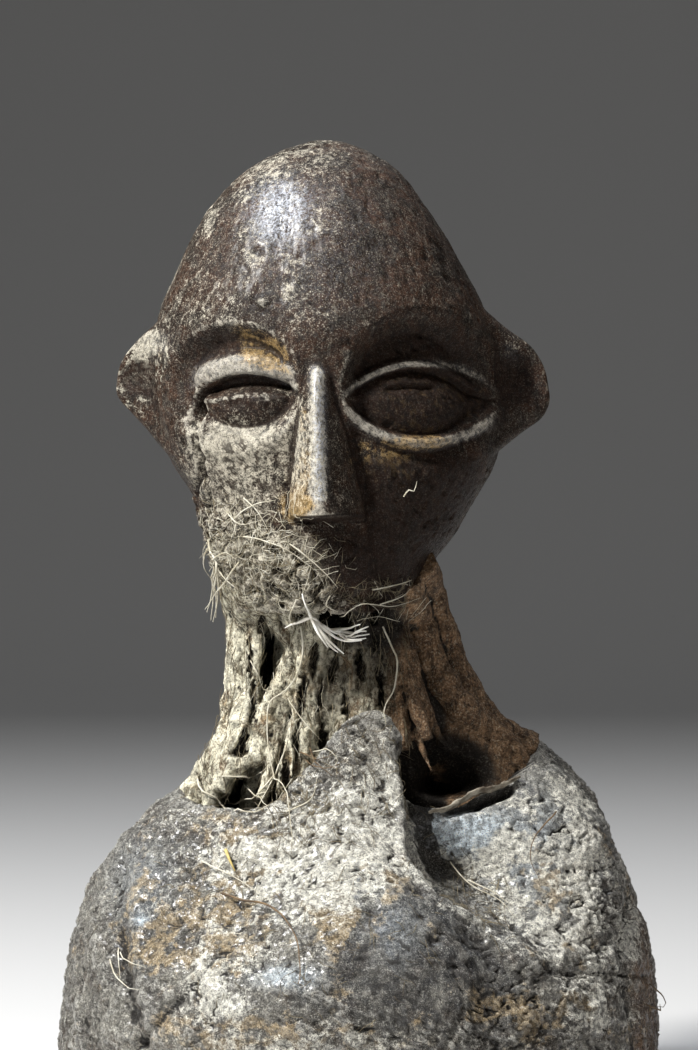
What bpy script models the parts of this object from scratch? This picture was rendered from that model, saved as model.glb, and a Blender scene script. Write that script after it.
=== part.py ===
# Bust of a carved wooden power figure: a wooden head with ears, a raffia bound neck that flares
# like tendons, and a crusted charge packed round the shoulders and chest, cut flat below.
# Metres, +Z up. The figure faces -Y, and X runs to the viewer's right.
# The origin is the centre of the flat underside.

import math

import bmesh
import bpy
import numpy as np
from mathutils import Matrix, Vector
from mathutils.bvhtree import BVHTree

# Driving sizes
HEAD_HEIGHT = 0.0696  # crown to the flat under the chin
HEAD_SIDE_SHIFT = -0.0050  # the head sits a little to the viewer's left of the body
HEAD_FORWARD = 0.0025
NECK_HEIGHT = 0.0360  # seat in the charge up to the chin
NECK_HALF_WIDTH = 0.0250  # at its flared foot
NECK_HALF_DEPTH = 0.0162
CHARGE_HALF_WIDTH = 0.0445
CHARGE_FRONT_DEPTH = 0.0375
CHARGE_BACK_DEPTH = 0.0360
COLLAR_WALL = 0.0017  # crust left standing round the foot of the neck
SEAT_HEIGHT = 0.0360  # floor of the hollow that the neck stands in
SHOULDER_HEIGHT = 0.0520  # the viewer's right shoulder, the higher one
SEAT_GAP = 0.0003  # clearance wherever one piece rests on another
STRIP_WIDTH = 0.0015  # torn edge of hide across the hollow of the right shoulder
STRIP_THICKNESS = 0.0006
FIBRE_RADIUS = 0.00026
SPLIT_RADIUS = 0.00036  # the white tuft's split ends
KNOT_RADIUS = 0.0010
STRAW_RADIUS = 0.00042
STRAND_STEP = 0.0012  # distance between the points that a strand runs through

# How finely each form is divided, and the share of its triangles that is kept afterwards
HEAD_DOME_ROWS, HEAD_FACE_ROWS, HEAD_COLUMNS, HEAD_KEPT = 18, 76, 132, 0.17
NECK_ROWS, NECK_COLUMNS, NECK_KEPT, SEAT_KEPT = 30, 84, 0.24, 0.30
CHARGE_ROWS, CHARGE_COLUMNS, CHARGE_KEPT = 48, 100, 0.20

# Head outline: (share of the height below the crown, share of the height out from the axis)
HEAD_WIDTH = [(0, 0), (0.017, 0.075), (0.056, 0.148), (0.103, 0.197), (0.157, 0.239), (0.22, 0.277),
              (0.28, 0.308), (0.34, 0.339), (0.40, 0.370), (0.50, 0.393), (0.58, 0.388), (0.65, 0.369),
              (0.70, 0.341), (0.77, 0.300), (0.85, 0.262), (0.90, 0.232), (0.95, 0.214), (1, 0.207)]
HEAD_FRONT = [(0, 0), (0.02, 0.080), (0.08, 0.168), (0.18, 0.240), (0.30, 0.295), (0.40, 0.325),
              (0.50, 0.330), (0.60, 0.326), (0.75, 0.312), (0.90, 0.290), (1, 0.245)]
HEAD_BACK = [(0, 0), (0.02, 0.082), (0.08, 0.182), (0.18, 0.265), (0.30, 0.340), (0.40, 0.385),
             (0.52, 0.400), (0.65, 0.370), (0.80, 0.290), (0.90, 0.235), (1, 0.200)]
HEAD_LEAN = [(0, -0.002), (0.06, -0.006), (0.12, -0.013), (0.22, -0.012), (0.34, -0.008), (0.50, 0.004),
             (0.65, 0.014), (0.77, 0.019), (0.85, 0.009), (0.90, 0.002), (0.95, 0.004), (1, 0.020)]
FACE_START = 0.36  # where the rows become even, just above the brows

# Neck outline from the chin (0) to the seat (1), as shares of the foot's half width and depth
NECK_WIDTH = [(0, 0.592), (0.18, 0.660), (0.39, 0.756), (0.56, 0.924), (0.65, 0.980), (1, 1.0)]
NECK_DEPTH = [(0, 0.740), (0.25, 0.755), (0.52, 0.850), (0.75, 0.960), (1, 1.0)]
NECK_LEAN = [(0, -0.104), (0.18, -0.066), (0.39, 0.012), (0.56, 0.072), (0.65, 0.090), (1, 0.020)]

# Charge outline from the underside (0) to the rim (1), as shares of the way from its collar out to
# its full width or depth. The collar takes its size from the neck, whose tendons reach past its depth.
CHARGE_SIDE = [(0, 0.965), (0.14, 1.0), (0.30, 0.975), (0.44, 0.915), (0.58, 0.790), (0.71, 0.645),
               (0.85, 0.440), (0.93, 0.250), (1, 0)]
CHARGE_FRONT = [(0, 0.890), (0.14, 0.965), (0.28, 1.0), (0.46, 0.830), (0.62, 0.490), (0.78, 0.215),
                (0.90, 0.075), (1, 0)]
CHARGE_BACK = [(0, 0.930), (0.20, 1.0), (0.45, 0.935), (0.65, 0.695), (0.82, 0.350), (1, 0)]
FRONT_TENDON_REACH, BACK_TENDON_REACH = 1.12, 1.05

# Rim of the charge: (azimuth in degrees from the front, share of the shoulder's height)
# It climbs the throat as a tongue, dips beside it and rises to the right shoulder.
CHARGE_RIM = [(-180, 0.950), (-135, 0.915), (-90, 0.855), (-52, 0.825), (-28, 0.850), (-14, 0.960),
              (0, 1.035), (12, 1.025), (22, 0.930), (32, 0.835), (52, 0.825), (70, 0.920), (90, 1.0),
              (135, 0.990), (180, 0.950)]

# Dark hollows at the foot of the neck: across and forward as shares of its foot, up as a share of the
# shoulder's height, and the half sizes of the hollow
POCKETS = {
    "left_pocket": (-0.60, 0.93, 0.85, (0.0048, 0.0055, 0.0060)),
    "right_pocket": (0.66, 0.93, 0.89, (0.0075, 0.0060, 0.0060)),
}

# Loose fibres as (across, up) stations, in shares of the width and height of what they lie on
STRANDS = {
    "throat_strand": ("neck", FIBRE_RADIUS, [(0.14, 0.93), (0.22, 0.79), (0.19, 0.67), (0.13, 0.54)]),
    "neck_strand": ("neck", FIBRE_RADIUS,
                    [(-0.39, 0.82), (-0.53, 0.63), (-0.54, 0.51), (-0.50, 0.32), (-0.40, 0.07)]),
    "pocket_strand": ("neck", FIBRE_RADIUS, [(-0.90, 0.29), (-0.86, 0.21), (-0.70, 0.17), (-0.45, 0.25)]),
    "chest_root": ("charge", FIBRE_RADIUS, [(-0.44, 0.61), (-0.29, 0.58), (-0.20, 0.51), (-0.19, 0.41)]),
    "chest_straw": ("charge", STRAW_RADIUS, [(-0.436, 0.723), (-0.402, 0.650)]),
    "jaw_wisp": ("head", STRAW_RADIUS, [(-0.217, 0.150), (-0.245, 0.120), (-0.245, 0.065), (-0.260, -0.030)]),
}
TUFT_KNOT = (-0.276, 0.950)
TUFT_TIPS = [(0.052, 0.875), (-0.020, 0.935), (-0.112, 0.800), (-0.205, 0.850)]
STRIP_PATH = [(0.225, 0.815), (0.300, 0.832), (0.366, 0.858), (0.440, 0.879), (0.530, 0.888)]

# Tendons of the neck: (azimuth at the chin, azimuth at the foot, half width, height)
# Azimuths are degrees from the front, and the height is a share of the half depth.
TENDONS = [(-78, -92, 13, 0.12), (-48, -64, 9, 0.18), (-14, -38, 7, 0.22), (8, -10, 9, 0.16),
           (30, 14, 9, 0.20), (50, 42, 6, 0.14), (76, 88, 14, 0.12), (115, 112, 14, 0.13),
           (150, 146, 14, 0.15), (-175, -178, 14, 0.12), (-140, -142, 14, 0.15), (-108, -116, 12, 0.13)]

# Eyes as almonds between two arcs, in shares of the head's height: across from the axis, down from
# the crown, tilt in degrees; each lid is (distance outside the opening, half width)
EYES = {
    "left": {"across": -0.187, "down": 0.550, "half_length": 0.122, "upper": 0.052, "lower": 0.062,
             "tilt": -2, "lid_up": (0.030, 0.024), "lid_down": (0.018, 0.019), "lid_height": 0.021},
    "right": {"across": 0.213, "down": 0.556, "half_length": 0.158, "upper": 0.070, "lower": 0.080,
              "tilt": -1, "lid_up": (0.012, 0.016), "lid_down": (0.010, 0.017), "lid_height": 0.026},
}
SOCKETS = {
    "left": {"across": -0.203, "down": 0.522, "half_width": 0.148, "half_height": 0.125, "depth": 0.036},
    "right": {"across": 0.211, "down": 0.535, "half_width": 0.172, "half_height": 0.165, "depth": 0.050},
}
EYE_BULGE = 0.030
NOSE_TOP, NOSE_TIP, NOSE_FOOT = 0.485, 0.806, 0.828
NOSE_HEIGHT = [(0.48, 0.010), (0.52, 0.040), (0.62, 0.072), (0.74, 0.105), (0.81, 0.128)]
NOSE_LEFT = [(0.48, 0.022), (0.60, 0.040), (0.81, 0.072)]
NOSE_RIGHT = [(0.48, 0.022), (0.60, 0.052), (0.81, 0.092)]
NOSE_ACROSS = -0.014

# Ears: (out from the axis, top edge below the crown, foot below the crown, half thickness)
EARS = {
    "left": [(0.270, 0.380, 0.720, 0.100), (0.345, 0.385, 0.690, 0.098), (0.385, 0.415, 0.615, 0.080),
             (0.420, 0.452, 0.580, 0.066), (0.438, 0.480, 0.562, 0.048)],
    "right": [(0.280, 0.370, 0.740, 0.104), (0.365, 0.385, 0.690, 0.100), (0.410, 0.424, 0.632, 0.084),
              (0.448, 0.452, 0.610, 0.068), (0.474, 0.505, 0.585, 0.048)],
}
EAR_FORWARD = 0.010
EAR_SIDES, EAR_RINGS = 20, 11


def clear_scene():
    for leftover in list(bpy.data.objects):
        bpy.data.objects.remove(leftover)


def material(name, colour, roughness, metallic=0.0):
    """A plain Principled finish for one kind of surface."""
    made = bpy.data.materials.new(name)
    made.use_nodes = True
    shader = made.node_tree.nodes["Principled BSDF"]
    shader.inputs["Base Color"].default_value = (*colour, 1.0)
    shader.inputs["Roughness"].default_value = roughness
    shader.inputs["Metallic"].default_value = metallic
    return made


def track(stations, where):
    """A smooth curve through (position, value) stations, read at where."""
    at, values = np.array(stations, float).T
    slopes = np.gradient(values, at)
    where = np.clip(where, at[0], at[-1])
    left = np.clip(np.searchsorted(at, where, side="right") - 1, 0, len(at) - 2)
    gap = at[left + 1] - at[left]
    t = (where - at[left]) / gap
    return ((1 + 2 * t) * (1 - t) ** 2 * values[left]
            + t * (1 - t) ** 2 * gap * slopes[left]
            + t ** 2 * (3 - 2 * t) * values[left + 1]
            + t ** 2 * (t - 1) * gap * slopes[left + 1])


def dome_track(stations, drop):
    """The same for an outline that closes in a round crown, where width grows as a root of the drop."""
    rooted = [(math.sqrt(at), value) for at, value in stations]
    return track(rooted, np.sqrt(drop))


def ease(low, high, value):
    t = np.clip((value - low) / (high - low), 0, 1)
    return t * t * (3 - 2 * t)


def bell(distance, spread):
    return np.exp(-(distance / spread) ** 2)


def rounded(value, power):
    """Sine or cosine pushed outwards, which squares an ellipse off a little."""
    return np.sign(value) * np.abs(value) ** power


def stroke(across, down, points, spread):
    """A soft band along a polyline, 1 on the line."""
    nearest = np.full(np.shape(across), np.inf)
    for (ax, ay), (bx, by) in zip(points, points[1:]):
        dx, dy = bx - ax, by - ay
        t = np.clip(((across - ax) * dx + (down - ay) * dy) / (dx * dx + dy * dy), 0, 1)
        nearest = np.minimum(nearest, np.hypot(across - ax - t * dx, down - ay - t * dy))
    return bell(nearest, spread)


def mound(across, down, centre, radii, tilt=0.0):
    """A soft oval bump, 1 at its centre."""
    dx, dy = across - centre[0], down - centre[1]
    turn = math.radians(tilt)
    along = dx * math.cos(turn) + dy * math.sin(turn)
    beside = dy * math.cos(turn) - dx * math.sin(turn)
    return np.exp(-(along / radii[0]) ** 2 - (beside / radii[1]) ** 2)


def almond_distance(along, beside, eye):
    """Distance outside the opening, which two arcs bound: the lids meet in sharp corners."""
    length = eye["half_length"]
    reach = []
    for sign, rise in ((1, eye["upper"]), (-1, eye["lower"])):
        radius = (length ** 2 + rise ** 2) / (2 * rise)
        reach.append(np.hypot(along, beside - sign * (radius - rise)) - radius)
    return np.maximum(*reach)


def eye_relief(across, down, eye):
    """A lens swelling inside raised lids."""
    turn = math.radians(eye["tilt"])
    dx, dy = across - eye["across"], down - eye["down"]
    along, beside = dx * math.cos(turn) + dy * math.sin(turn), dy * math.cos(turn) - dx * math.sin(turn)
    outside = almond_distance(along, beside, eye)
    rise = np.clip(-outside / (0.5 * (eye["upper"] + eye["lower"])), 0, 1)
    lens = EYE_BULGE * np.sqrt(1 - (1 - rise) ** 2)
    gap, spread = (np.where(beside < 0, eye["lid_up"][n], eye["lid_down"][n]) for n in range(2))
    corner = 1 - ease(1.0, 1.25, np.abs(along) / eye["half_length"])
    return lens + eye["lid_height"] * corner * bell(outside - gap, spread)


def socket_relief(across, down, socket):
    """A hollow under the brow, crisp above and fading into the cheek."""
    reach = np.hypot((across - socket["across"]) / socket["half_width"],
                     (down - socket["down"]) / socket["half_height"])
    fade = 1 - 0.65 * ease(socket["down"] - 0.02, socket["down"] + socket["half_height"], down)
    return -socket["depth"] * (1 - ease(0.74, 1.04, reach)) * fade


def nose_relief(across, down):
    """A long wedge with a narrow ridge and a flat foot."""
    beside = across - NOSE_ACROSS
    half_width = np.where(beside < 0, track(NOSE_LEFT, down), track(NOSE_RIGHT, down))
    slope = np.clip(1 - np.abs(beside) / half_width, 0, 1)
    ridge = slope * (1 - 0.18 * slope ** 3)
    span = ease(NOSE_TOP - 0.03, NOSE_TOP + 0.02, down) * (1 - ease(NOSE_TIP, NOSE_FOOT, down))
    return track(NOSE_HEIGHT, down) * ridge * span


def head_relief(across, down):
    """All the carving on the face, in shares of the head's height."""
    relief = 0.009 * bell(across + 0.01, 0.075) * ease(0.02, 0.15, down) * (1 - ease(0.40, 0.50, down))
    for side in EYES:
        relief = relief + socket_relief(across, down, SOCKETS[side]) + eye_relief(across, down, EYES[side])
    relief = relief + nose_relief(across, down)
    relief = relief + 0.030 * mound(across, down, (-0.01, 0.93), (0.13, 0.075))
    relief = relief - 0.012 * stroke(across, down, [(0.070, 0.62), (0.125, 0.81), (0.135, 0.97)], 0.020)
    return relief


def ring_point(azimuth, half_width, front, back, squareness):
    depth = np.where(np.cos(azimuth) > 0, front, back)
    return half_width * rounded(np.sin(azimuth), squareness), -depth * rounded(np.cos(azimuth), squareness)


def along_normal(surface, azimuth, share, relief, step=1e-3):
    """Points of a smooth surface pushed out along its own normal by the relief."""
    here = surface(azimuth, share)
    up = surface(azimuth, share - step) - surface(azimuth, share + step)
    round_it = surface(azimuth + step, share) - surface(azimuth - step, share)
    normal = np.cross(round_it, up)
    length = np.linalg.norm(normal, axis=-1, keepdims=True)
    normal = np.where(length > 1e-14, normal / np.maximum(length, 1e-14), 0)
    return here + normal * relief[..., None]


def head_form(azimuth, drop):
    """The plain head before carving, with the crown at the top of its own frame."""
    drop = np.clip(drop, 0, 1)
    across, forward = ring_point(azimuth, dome_track(HEAD_WIDTH, drop), dome_track(HEAD_FRONT, drop),
                                 dome_track(HEAD_BACK, drop), 0.93)
    across = across + track(HEAD_LEAN, drop) * ease(0, 0.05, drop)
    return HEAD_HEIGHT * np.stack([across, forward, 1 - drop + 0 * azimuth], axis=-1)


def head_surface(azimuth, drop):
    plain = head_form(azimuth, drop)
    facing = ease(0.02, 0.35, np.cos(azimuth))
    relief = head_relief(plain[..., 0] / HEAD_HEIGHT, drop) * facing * HEAD_HEIGHT
    return along_normal(head_form, azimuth, drop, relief)


def neck_form(azimuth, share):
    half_width = NECK_HALF_WIDTH * track(NECK_WIDTH, share)
    half_depth = NECK_HALF_DEPTH * track(NECK_DEPTH, share)
    across, forward = ring_point(azimuth, half_width, half_depth, half_depth, 0.95)
    across = across + NECK_HALF_WIDTH * track(NECK_LEAN, share)
    return np.stack([across, forward, NECK_HEIGHT * (1 - share) + 0 * azimuth], axis=-1)


def neck_relief(azimuth, share):
    """Tendons of bound raffia standing out of a sunken core."""
    relief = -0.10 * ease(0.0, 0.3, share) + 0 * azimuth
    for at_chin, at_foot, half_width, height in TENDONS:
        path = np.radians(at_chin + (at_foot - at_chin) * share)
        off = (azimuth - path + math.pi) % (2 * math.pi) - math.pi
        relief = relief + height * bell(off, math.radians(half_width)) * ease(-0.1, 0.2, share)
    return relief


def neck_surface(azimuth, share):
    return along_normal(neck_form, azimuth, share, NECK_HALF_DEPTH * neck_relief(azimuth, share))


def rim_height(azimuth):
    """The charge's upper edge, from shoulder to throat to shoulder to nape."""
    turn = (np.degrees(azimuth) + 180) % 360 - 180
    return SHOULDER_HEIGHT * track(CHARGE_RIM, turn)


def charge_form(azimuth, share):
    """The packed charge as a plain swelling form, share 0 at its rim and 1 at the underside."""
    up = 1 - share
    reach = []
    for outline, full, collar in (
            (CHARGE_SIDE, CHARGE_HALF_WIDTH, NECK_HALF_WIDTH + COLLAR_WALL),
            (CHARGE_FRONT, CHARGE_FRONT_DEPTH, NECK_HALF_DEPTH * FRONT_TENDON_REACH + COLLAR_WALL),
            (CHARGE_BACK, CHARGE_BACK_DEPTH, NECK_HALF_DEPTH * BACK_TENDON_REACH + COLLAR_WALL)):
        reach.append(collar + (full - collar) * track(outline, up))
    across, forward = ring_point(azimuth, *reach, 0.95)
    return np.stack([across, forward, rim_height(azimuth) * up], axis=-1)


def charge_relief(across, height, facing):
    """Lumps, valley and folds of the crust, in metres, read from the front."""
    u, v = across / CHARGE_HALF_WIDTH, height / SHOULDER_HEIGHT
    front = 0.0030 * mound(u, v, (-0.03, 0.29), (0.50, 0.26))
    front += 0.0022 * mound(u, v, (-0.68, 0.58), (0.26, 0.26))
    front += 0.0020 * mound(u, v, (0.68, 0.68), (0.20, 0.24))
    front -= 0.0085 * mound(u, v, (0.36, 0.66), (0.26, 0.115), tilt=-58)
    front += 0.0020 * stroke(u, v, [(0.155, 0.98), (0.175, 0.60), (0.31, 0.50), (0.50, 0.40)], 0.055)
    front -= 0.0018 * stroke(u, v, [(-0.80, 0.70), (-0.80, 0.36), (-0.73, 0.05)], 0.045)
    front -= 0.0014 * stroke(u, v, [(-0.70, 0.15), (-0.42, 0.42)], 0.040)
    behind = 0.0020 * mound(u, v, (0, 0.55), (0.55, 0.30))
    behind -= 0.0020 * stroke(u, v, [(0, 0.9), (0.03, 0.1)], 0.07)
    return front * ease(0.0, 0.35, facing) + behind * ease(0.0, 0.35, -facing)


def charge_surface(azimuth, share):
    plain = charge_form(azimuth, share)
    relief = charge_relief(plain[..., 0], plain[..., 2], np.cos(azimuth))
    settled = ease(0, 0.12, 1 - share)  # the underside stays a true flat
    return along_normal(charge_form, azimuth, share, relief * settled)


def front_loaded(columns):
    """Azimuths round the form, closer together on the side that faces the viewer."""
    turn = np.linspace(-1, 1, columns, endpoint=False)
    return math.pi * (0.62 * turn + 0.38 * turn ** 3)


def object_from(name, mesh, finish, location=(0, 0, 0)):
    made = bpy.data.objects.new(name, mesh)
    bpy.context.scene.collection.objects.link(made)
    made.location = location
    mesh.materials.clear()
    mesh.materials.append(finish)
    mesh.shade_smooth()
    return made


def skin(name, rings, finish, location=(0, 0, 0), crown=None):
    """A closed body over rings of points: a flat cap at each end, or a point over the first ring."""
    work = bmesh.new()
    rings = [[work.verts.new(point) for point in ring] for ring in rings]
    for first, second in zip(rings, rings[1:]):
        for index in range(len(first)):
            after = (index + 1) % len(first)
            work.faces.new((first[index], second[index], second[after], first[after]))
    if crown is None:
        work.faces.new(rings[0])
    else:
        top = work.verts.new(crown)
        for index in range(len(rings[0])):
            work.faces.new((top, rings[0][index], rings[0][(index + 1) % len(rings[0])]))
    work.faces.new(rings[-1])
    bmesh.ops.recalc_face_normals(work, faces=work.faces)
    mesh = bpy.data.meshes.new(name)
    work.to_mesh(mesh)
    work.free()
    return object_from(name, mesh, finish, location)


def rings_of(surface, shares, columns):
    azimuths = front_loaded(columns)
    return [surface(azimuths, np.full(columns, share)) for share in shares]


def boolean(target, other, operation):
    other.hide_render = True
    other.display_type = "WIRE"
    cut = target.modifiers.new(f"{operation.lower()} {other.name}", "BOOLEAN")
    cut.operation = operation
    cut.object = other


def thin_out(target, kept):
    """Keep triangles where the carving needs them and drop them where the surface is plain."""
    fewer = target.modifiers.new("fewer triangles", "DECIMATE")
    fewer.ratio = kept


def neck_place():
    return Vector((0, 0, SEAT_HEIGHT + SEAT_GAP))


def head_place():
    return neck_place() + Vector((HEAD_SIDE_SHIFT, -HEAD_FORWARD, NECK_HEIGHT + SEAT_GAP))


def make_ear(side, finish):
    """A flared lug that grows out of the temple, with a shallow hollow in its front face."""
    sign = -1 if side == "left" else 1
    stations = EARS[side]
    turns = np.linspace(0, 2 * math.pi, EAR_SIDES, endpoint=False)
    rings = []
    for reach in np.linspace(0, 1, EAR_RINGS):
        out, top, foot, thick = (track(list(zip(np.linspace(0, 1, len(stations)), column)), reach)
                                 for column in zip(*stations))
        height = (1 - (top + foot) / 2) + (foot - top) / 2 * rounded(np.sin(turns), 0.75)
        dip = 0.40 * bell(reach - 0.72, 0.24) * bell(np.sin(turns), 0.62) * (np.cos(turns) > 0)
        depth = -thick * (rounded(np.cos(turns), 0.75) - dip) - EAR_FORWARD
        rings.append(HEAD_HEIGHT * np.stack([sign * out + 0 * turns, depth, height], axis=-1))
    return skin(f"{side}_ear", rings, finish, head_place())


def make_head(finish):
    drops = [FACE_START * (row / HEAD_DOME_ROWS) ** 2 for row in range(1, HEAD_DOME_ROWS)]
    drops += list(np.linspace(FACE_START, 1, HEAD_FACE_ROWS))
    head = skin("carved_head", rings_of(head_surface, drops, HEAD_COLUMNS), finish, head_place(),
                crown=(0, 0, HEAD_HEIGHT))
    for side in EARS:
        boolean(head, make_ear(side, finish), "UNION")
    thin_out(head, HEAD_KEPT)
    return head


def make_neck(finish):
    rings = rings_of(neck_surface, np.linspace(0, 1, NECK_ROWS), NECK_COLUMNS)
    neck = skin("raffia_neck", rings, finish, neck_place())
    thin_out(neck, NECK_KEPT)
    return neck


def make_neck_cutter(finish):
    """The neck grown by the clearance, and open upwards, which hollows its seat out of the charge."""
    def grown(azimuth, share):
        relief = NECK_HALF_DEPTH * np.maximum(neck_relief(azimuth, share), -0.02) + SEAT_GAP
        return along_normal(neck_form, azimuth, share, relief)

    shares = [*np.linspace(0, 1, NECK_ROWS), 1 + SEAT_GAP / NECK_HEIGHT]
    cutter = skin("neck_seat_cutter", rings_of(grown, shares, NECK_COLUMNS), finish, neck_place())
    thin_out(cutter, SEAT_KEPT)
    return cutter


def make_pocket(name, finish):
    across, forward, up, radii = POCKETS[name]
    work = bmesh.new()
    bmesh.ops.create_uvsphere(work, u_segments=14, v_segments=9, radius=1.0)
    bmesh.ops.scale(work, vec=radii, verts=work.verts)
    mesh = bpy.data.meshes.new(name)
    work.to_mesh(mesh)
    work.free()
    centre = (across * NECK_HALF_WIDTH, -forward * NECK_HALF_DEPTH, up * SHOULDER_HEIGHT)
    return object_from(name, mesh, finish, centre)


def make_charge(finish):
    rings = rings_of(charge_surface, np.linspace(0, 1, CHARGE_ROWS), CHARGE_COLUMNS)
    charge = skin("charge_bundle", rings, finish)
    thin_out(charge, CHARGE_KEPT)
    boolean(charge, make_neck_cutter(finish), "DIFFERENCE")
    for name in POCKETS:
        boolean(charge, make_pocket(name, finish), "DIFFERENCE")
    return charge


def surface_tree(piece):
    """The piece as it is built, ready to be measured against."""
    work = bmesh.new()
    work.from_mesh(piece.evaluated_get(bpy.context.evaluated_depsgraph_get()).to_mesh())
    work.transform(Matrix.Translation(piece.location))
    tree = BVHTree.FromBMesh(work)
    work.free()
    return tree


def frame_of(rest):
    """Origin, width and height that a strand's stations are shares of."""
    return {"head": (head_place(), HEAD_HEIGHT, HEAD_HEIGHT),
            "neck": (neck_place(), NECK_HALF_WIDTH, NECK_HEIGHT),
            "charge": (Vector(), CHARGE_HALF_WIDTH, SHOULDER_HEIGHT)}[rest]


def lay_down(trees, rest, stations, clearance):
    """A smooth path through the stations, dropped from the front onto what lies there."""
    origin, width, height = frame_of(rest)
    points = [(origin.x + width * across, origin.z + height * up) for across, up in stations]
    length = sum(math.dist(here, there) for here, there in zip(points, points[1:]))
    shares = np.linspace(0, 1, len(points))
    where = np.linspace(0, 1, max(4, int(length / STRAND_STEP) + 1))
    path = []
    for x, z in zip(*(track(list(zip(shares, values)), where) for values in zip(*points))):
        hits = [tree.ray_cast(Vector((x, -1, z)), Vector((0, 1, 0)))[0] for tree in trees]
        ahead = min((hit.y for hit in hits if hit), default=path[-1].y + clearance if path else 0)
        point = Vector((x, ahead - clearance, z))
        while min(tree.find_nearest(point)[3] for tree in trees) < clearance:
            point.y -= SEAT_GAP / 3
        path.append(point)
    ahead = [min(point.y for point in path[max(0, i - 1):i + 2]) for i in range(len(path))]
    return [Vector((point.x, y, point.z)) for point, y in zip(path, ahead)]


def make_strand(name, path, radius, finish):
    curve = bpy.data.curves.new(name, "CURVE")
    curve.dimensions = "3D"
    curve.bevel_depth = radius
    curve.bevel_resolution = 1
    curve.use_fill_caps = True
    spline = curve.splines.new("POLY")
    spline.points.add(len(path) - 1)
    for share, point, here in zip(np.linspace(0, 1, len(path)), spline.points, path):
        point.co = (*here, 1)
        point.radius = 1 - 0.45 * share ** 2
    curve.materials.append(finish)
    strand = bpy.data.objects.new(name, curve)
    bpy.context.scene.collection.objects.link(strand)
    return strand


def make_tuft(trees, finish):
    """Split raffia ends that fan out of one knot, joined into a single body."""
    work = bmesh.new()
    bmesh.ops.create_icosphere(work, subdivisions=2, radius=KNOT_RADIUS)
    mesh = bpy.data.meshes.new("throat_tuft")
    work.to_mesh(mesh)
    work.free()
    clearance = KNOT_RADIUS + SEAT_GAP
    knot = lay_down(trees, "neck", [TUFT_KNOT, TUFT_KNOT], clearance)[0]
    tuft = object_from("throat_tuft", mesh, finish, knot)
    for number, tip in enumerate(TUFT_TIPS):
        path = lay_down(trees, "neck", [TUFT_KNOT, tip], clearance)
        path[0] = knot
        split = make_strand(f"tuft_split_{number}", path, SPLIT_RADIUS, finish)
        solid = bpy.data.meshes.new_from_object(split)
        bpy.data.objects.remove(split)
        boolean(tuft, object_from(f"tuft_split_{number}", solid, finish), "UNION")
    return tuft


def make_strip(trees, finish):
    """A torn edge of hide that bridges the hollow from the throat to the right shoulder."""
    clearance = STRIP_WIDTH / 2 + SEAT_GAP
    path = lay_down(trees, "charge", STRIP_PATH, clearance)
    rings = []
    for index, here in enumerate(path):
        share = index / (len(path) - 1)
        bridge = path[0].lerp(path[-1], share).y
        taper = 0.35 + 0.65 * math.sin(math.pi * share) ** 0.5 if 0 < share < 1 else 0.35
        half_width, half_thickness = STRIP_WIDTH / 2 * taper, STRIP_THICKNESS / 2
        centre = Vector((here.x, min(here.y, bridge), here.z))
        rings.append([centre + Vector((0, y, z)) for y, z in (
            (-half_thickness, -half_width), (half_thickness, -half_width),
            (half_thickness, half_width), (-half_thickness, half_width))])
    return skin("shoulder_strip", rings, finish)


def main():
    clear_scene()
    wood = material("dark_wood", (0.060, 0.040, 0.028), 0.45)
    raffia = material("earthy_raffia", (0.20, 0.17, 0.12), 0.90)
    crust = material("resin_crust", (0.13, 0.12, 0.11), 0.70)
    hide = material("dry_hide", (0.30, 0.27, 0.20), 0.80)
    fibre = material("pale_fibre", (0.52, 0.48, 0.36), 0.75)
    trees = [surface_tree(piece) for piece in (make_head(wood), make_neck(raffia), make_charge(crust))]
    make_strip(trees, hide)
    trees.append(surface_tree(make_tuft(trees, fibre)))
    for name, (rest, radius, stations) in STRANDS.items():
        path = lay_down(trees, rest, stations, radius + SEAT_GAP)
        trees.append(surface_tree(make_strand(name, path, radius, fibre)))


main()
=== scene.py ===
# Bust of a carved power figure: a wooden head on a sinewy raffia neck, and a crusted charge packed
# round the shoulders. Spots and lines given as (across, down) are pixels of the 698 x 1050 view.
import math
import random

import bmesh
import bpy
import numpy as np
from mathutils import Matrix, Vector, noise
from mathutils.bvhtree import BVHTree


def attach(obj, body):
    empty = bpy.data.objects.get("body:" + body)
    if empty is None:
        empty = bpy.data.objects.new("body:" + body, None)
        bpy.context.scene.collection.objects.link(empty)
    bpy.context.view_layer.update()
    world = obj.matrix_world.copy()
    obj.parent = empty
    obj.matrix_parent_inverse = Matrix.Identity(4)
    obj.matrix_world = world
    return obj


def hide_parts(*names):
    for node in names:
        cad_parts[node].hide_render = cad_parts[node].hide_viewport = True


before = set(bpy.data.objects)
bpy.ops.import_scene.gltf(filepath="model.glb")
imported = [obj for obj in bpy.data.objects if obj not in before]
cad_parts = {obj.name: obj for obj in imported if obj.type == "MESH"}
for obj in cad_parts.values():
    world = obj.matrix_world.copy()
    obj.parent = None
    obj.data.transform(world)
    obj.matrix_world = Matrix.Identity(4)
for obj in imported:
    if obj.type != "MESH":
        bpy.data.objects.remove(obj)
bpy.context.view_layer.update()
scene = bpy.context.scene

view = {"eye": (-0.0015, -0.65, 0.08475), "pixel": 0.00015, "middle": (349, 525), "lens": 223.5}


# plain maths that the pieces share

def track(stations, where):  # smooth curve through (position, value) stations
    at, values = np.array(stations, float).T
    slopes = np.gradient(values, at)
    where = np.clip(where, at[0], at[-1])
    left = np.clip(np.searchsorted(at, where, side="right") - 1, 0, len(at) - 2)
    gap = at[left + 1] - at[left]
    t = (where - at[left]) / gap
    return ((1 + 2 * t) * (1 - t) ** 2 * values[left] + t * (1 - t) ** 2 * gap * slopes[left]
            + t ** 2 * (3 - 2 * t) * values[left + 1] + t ** 2 * (t - 1) * gap * slopes[left + 1])


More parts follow.
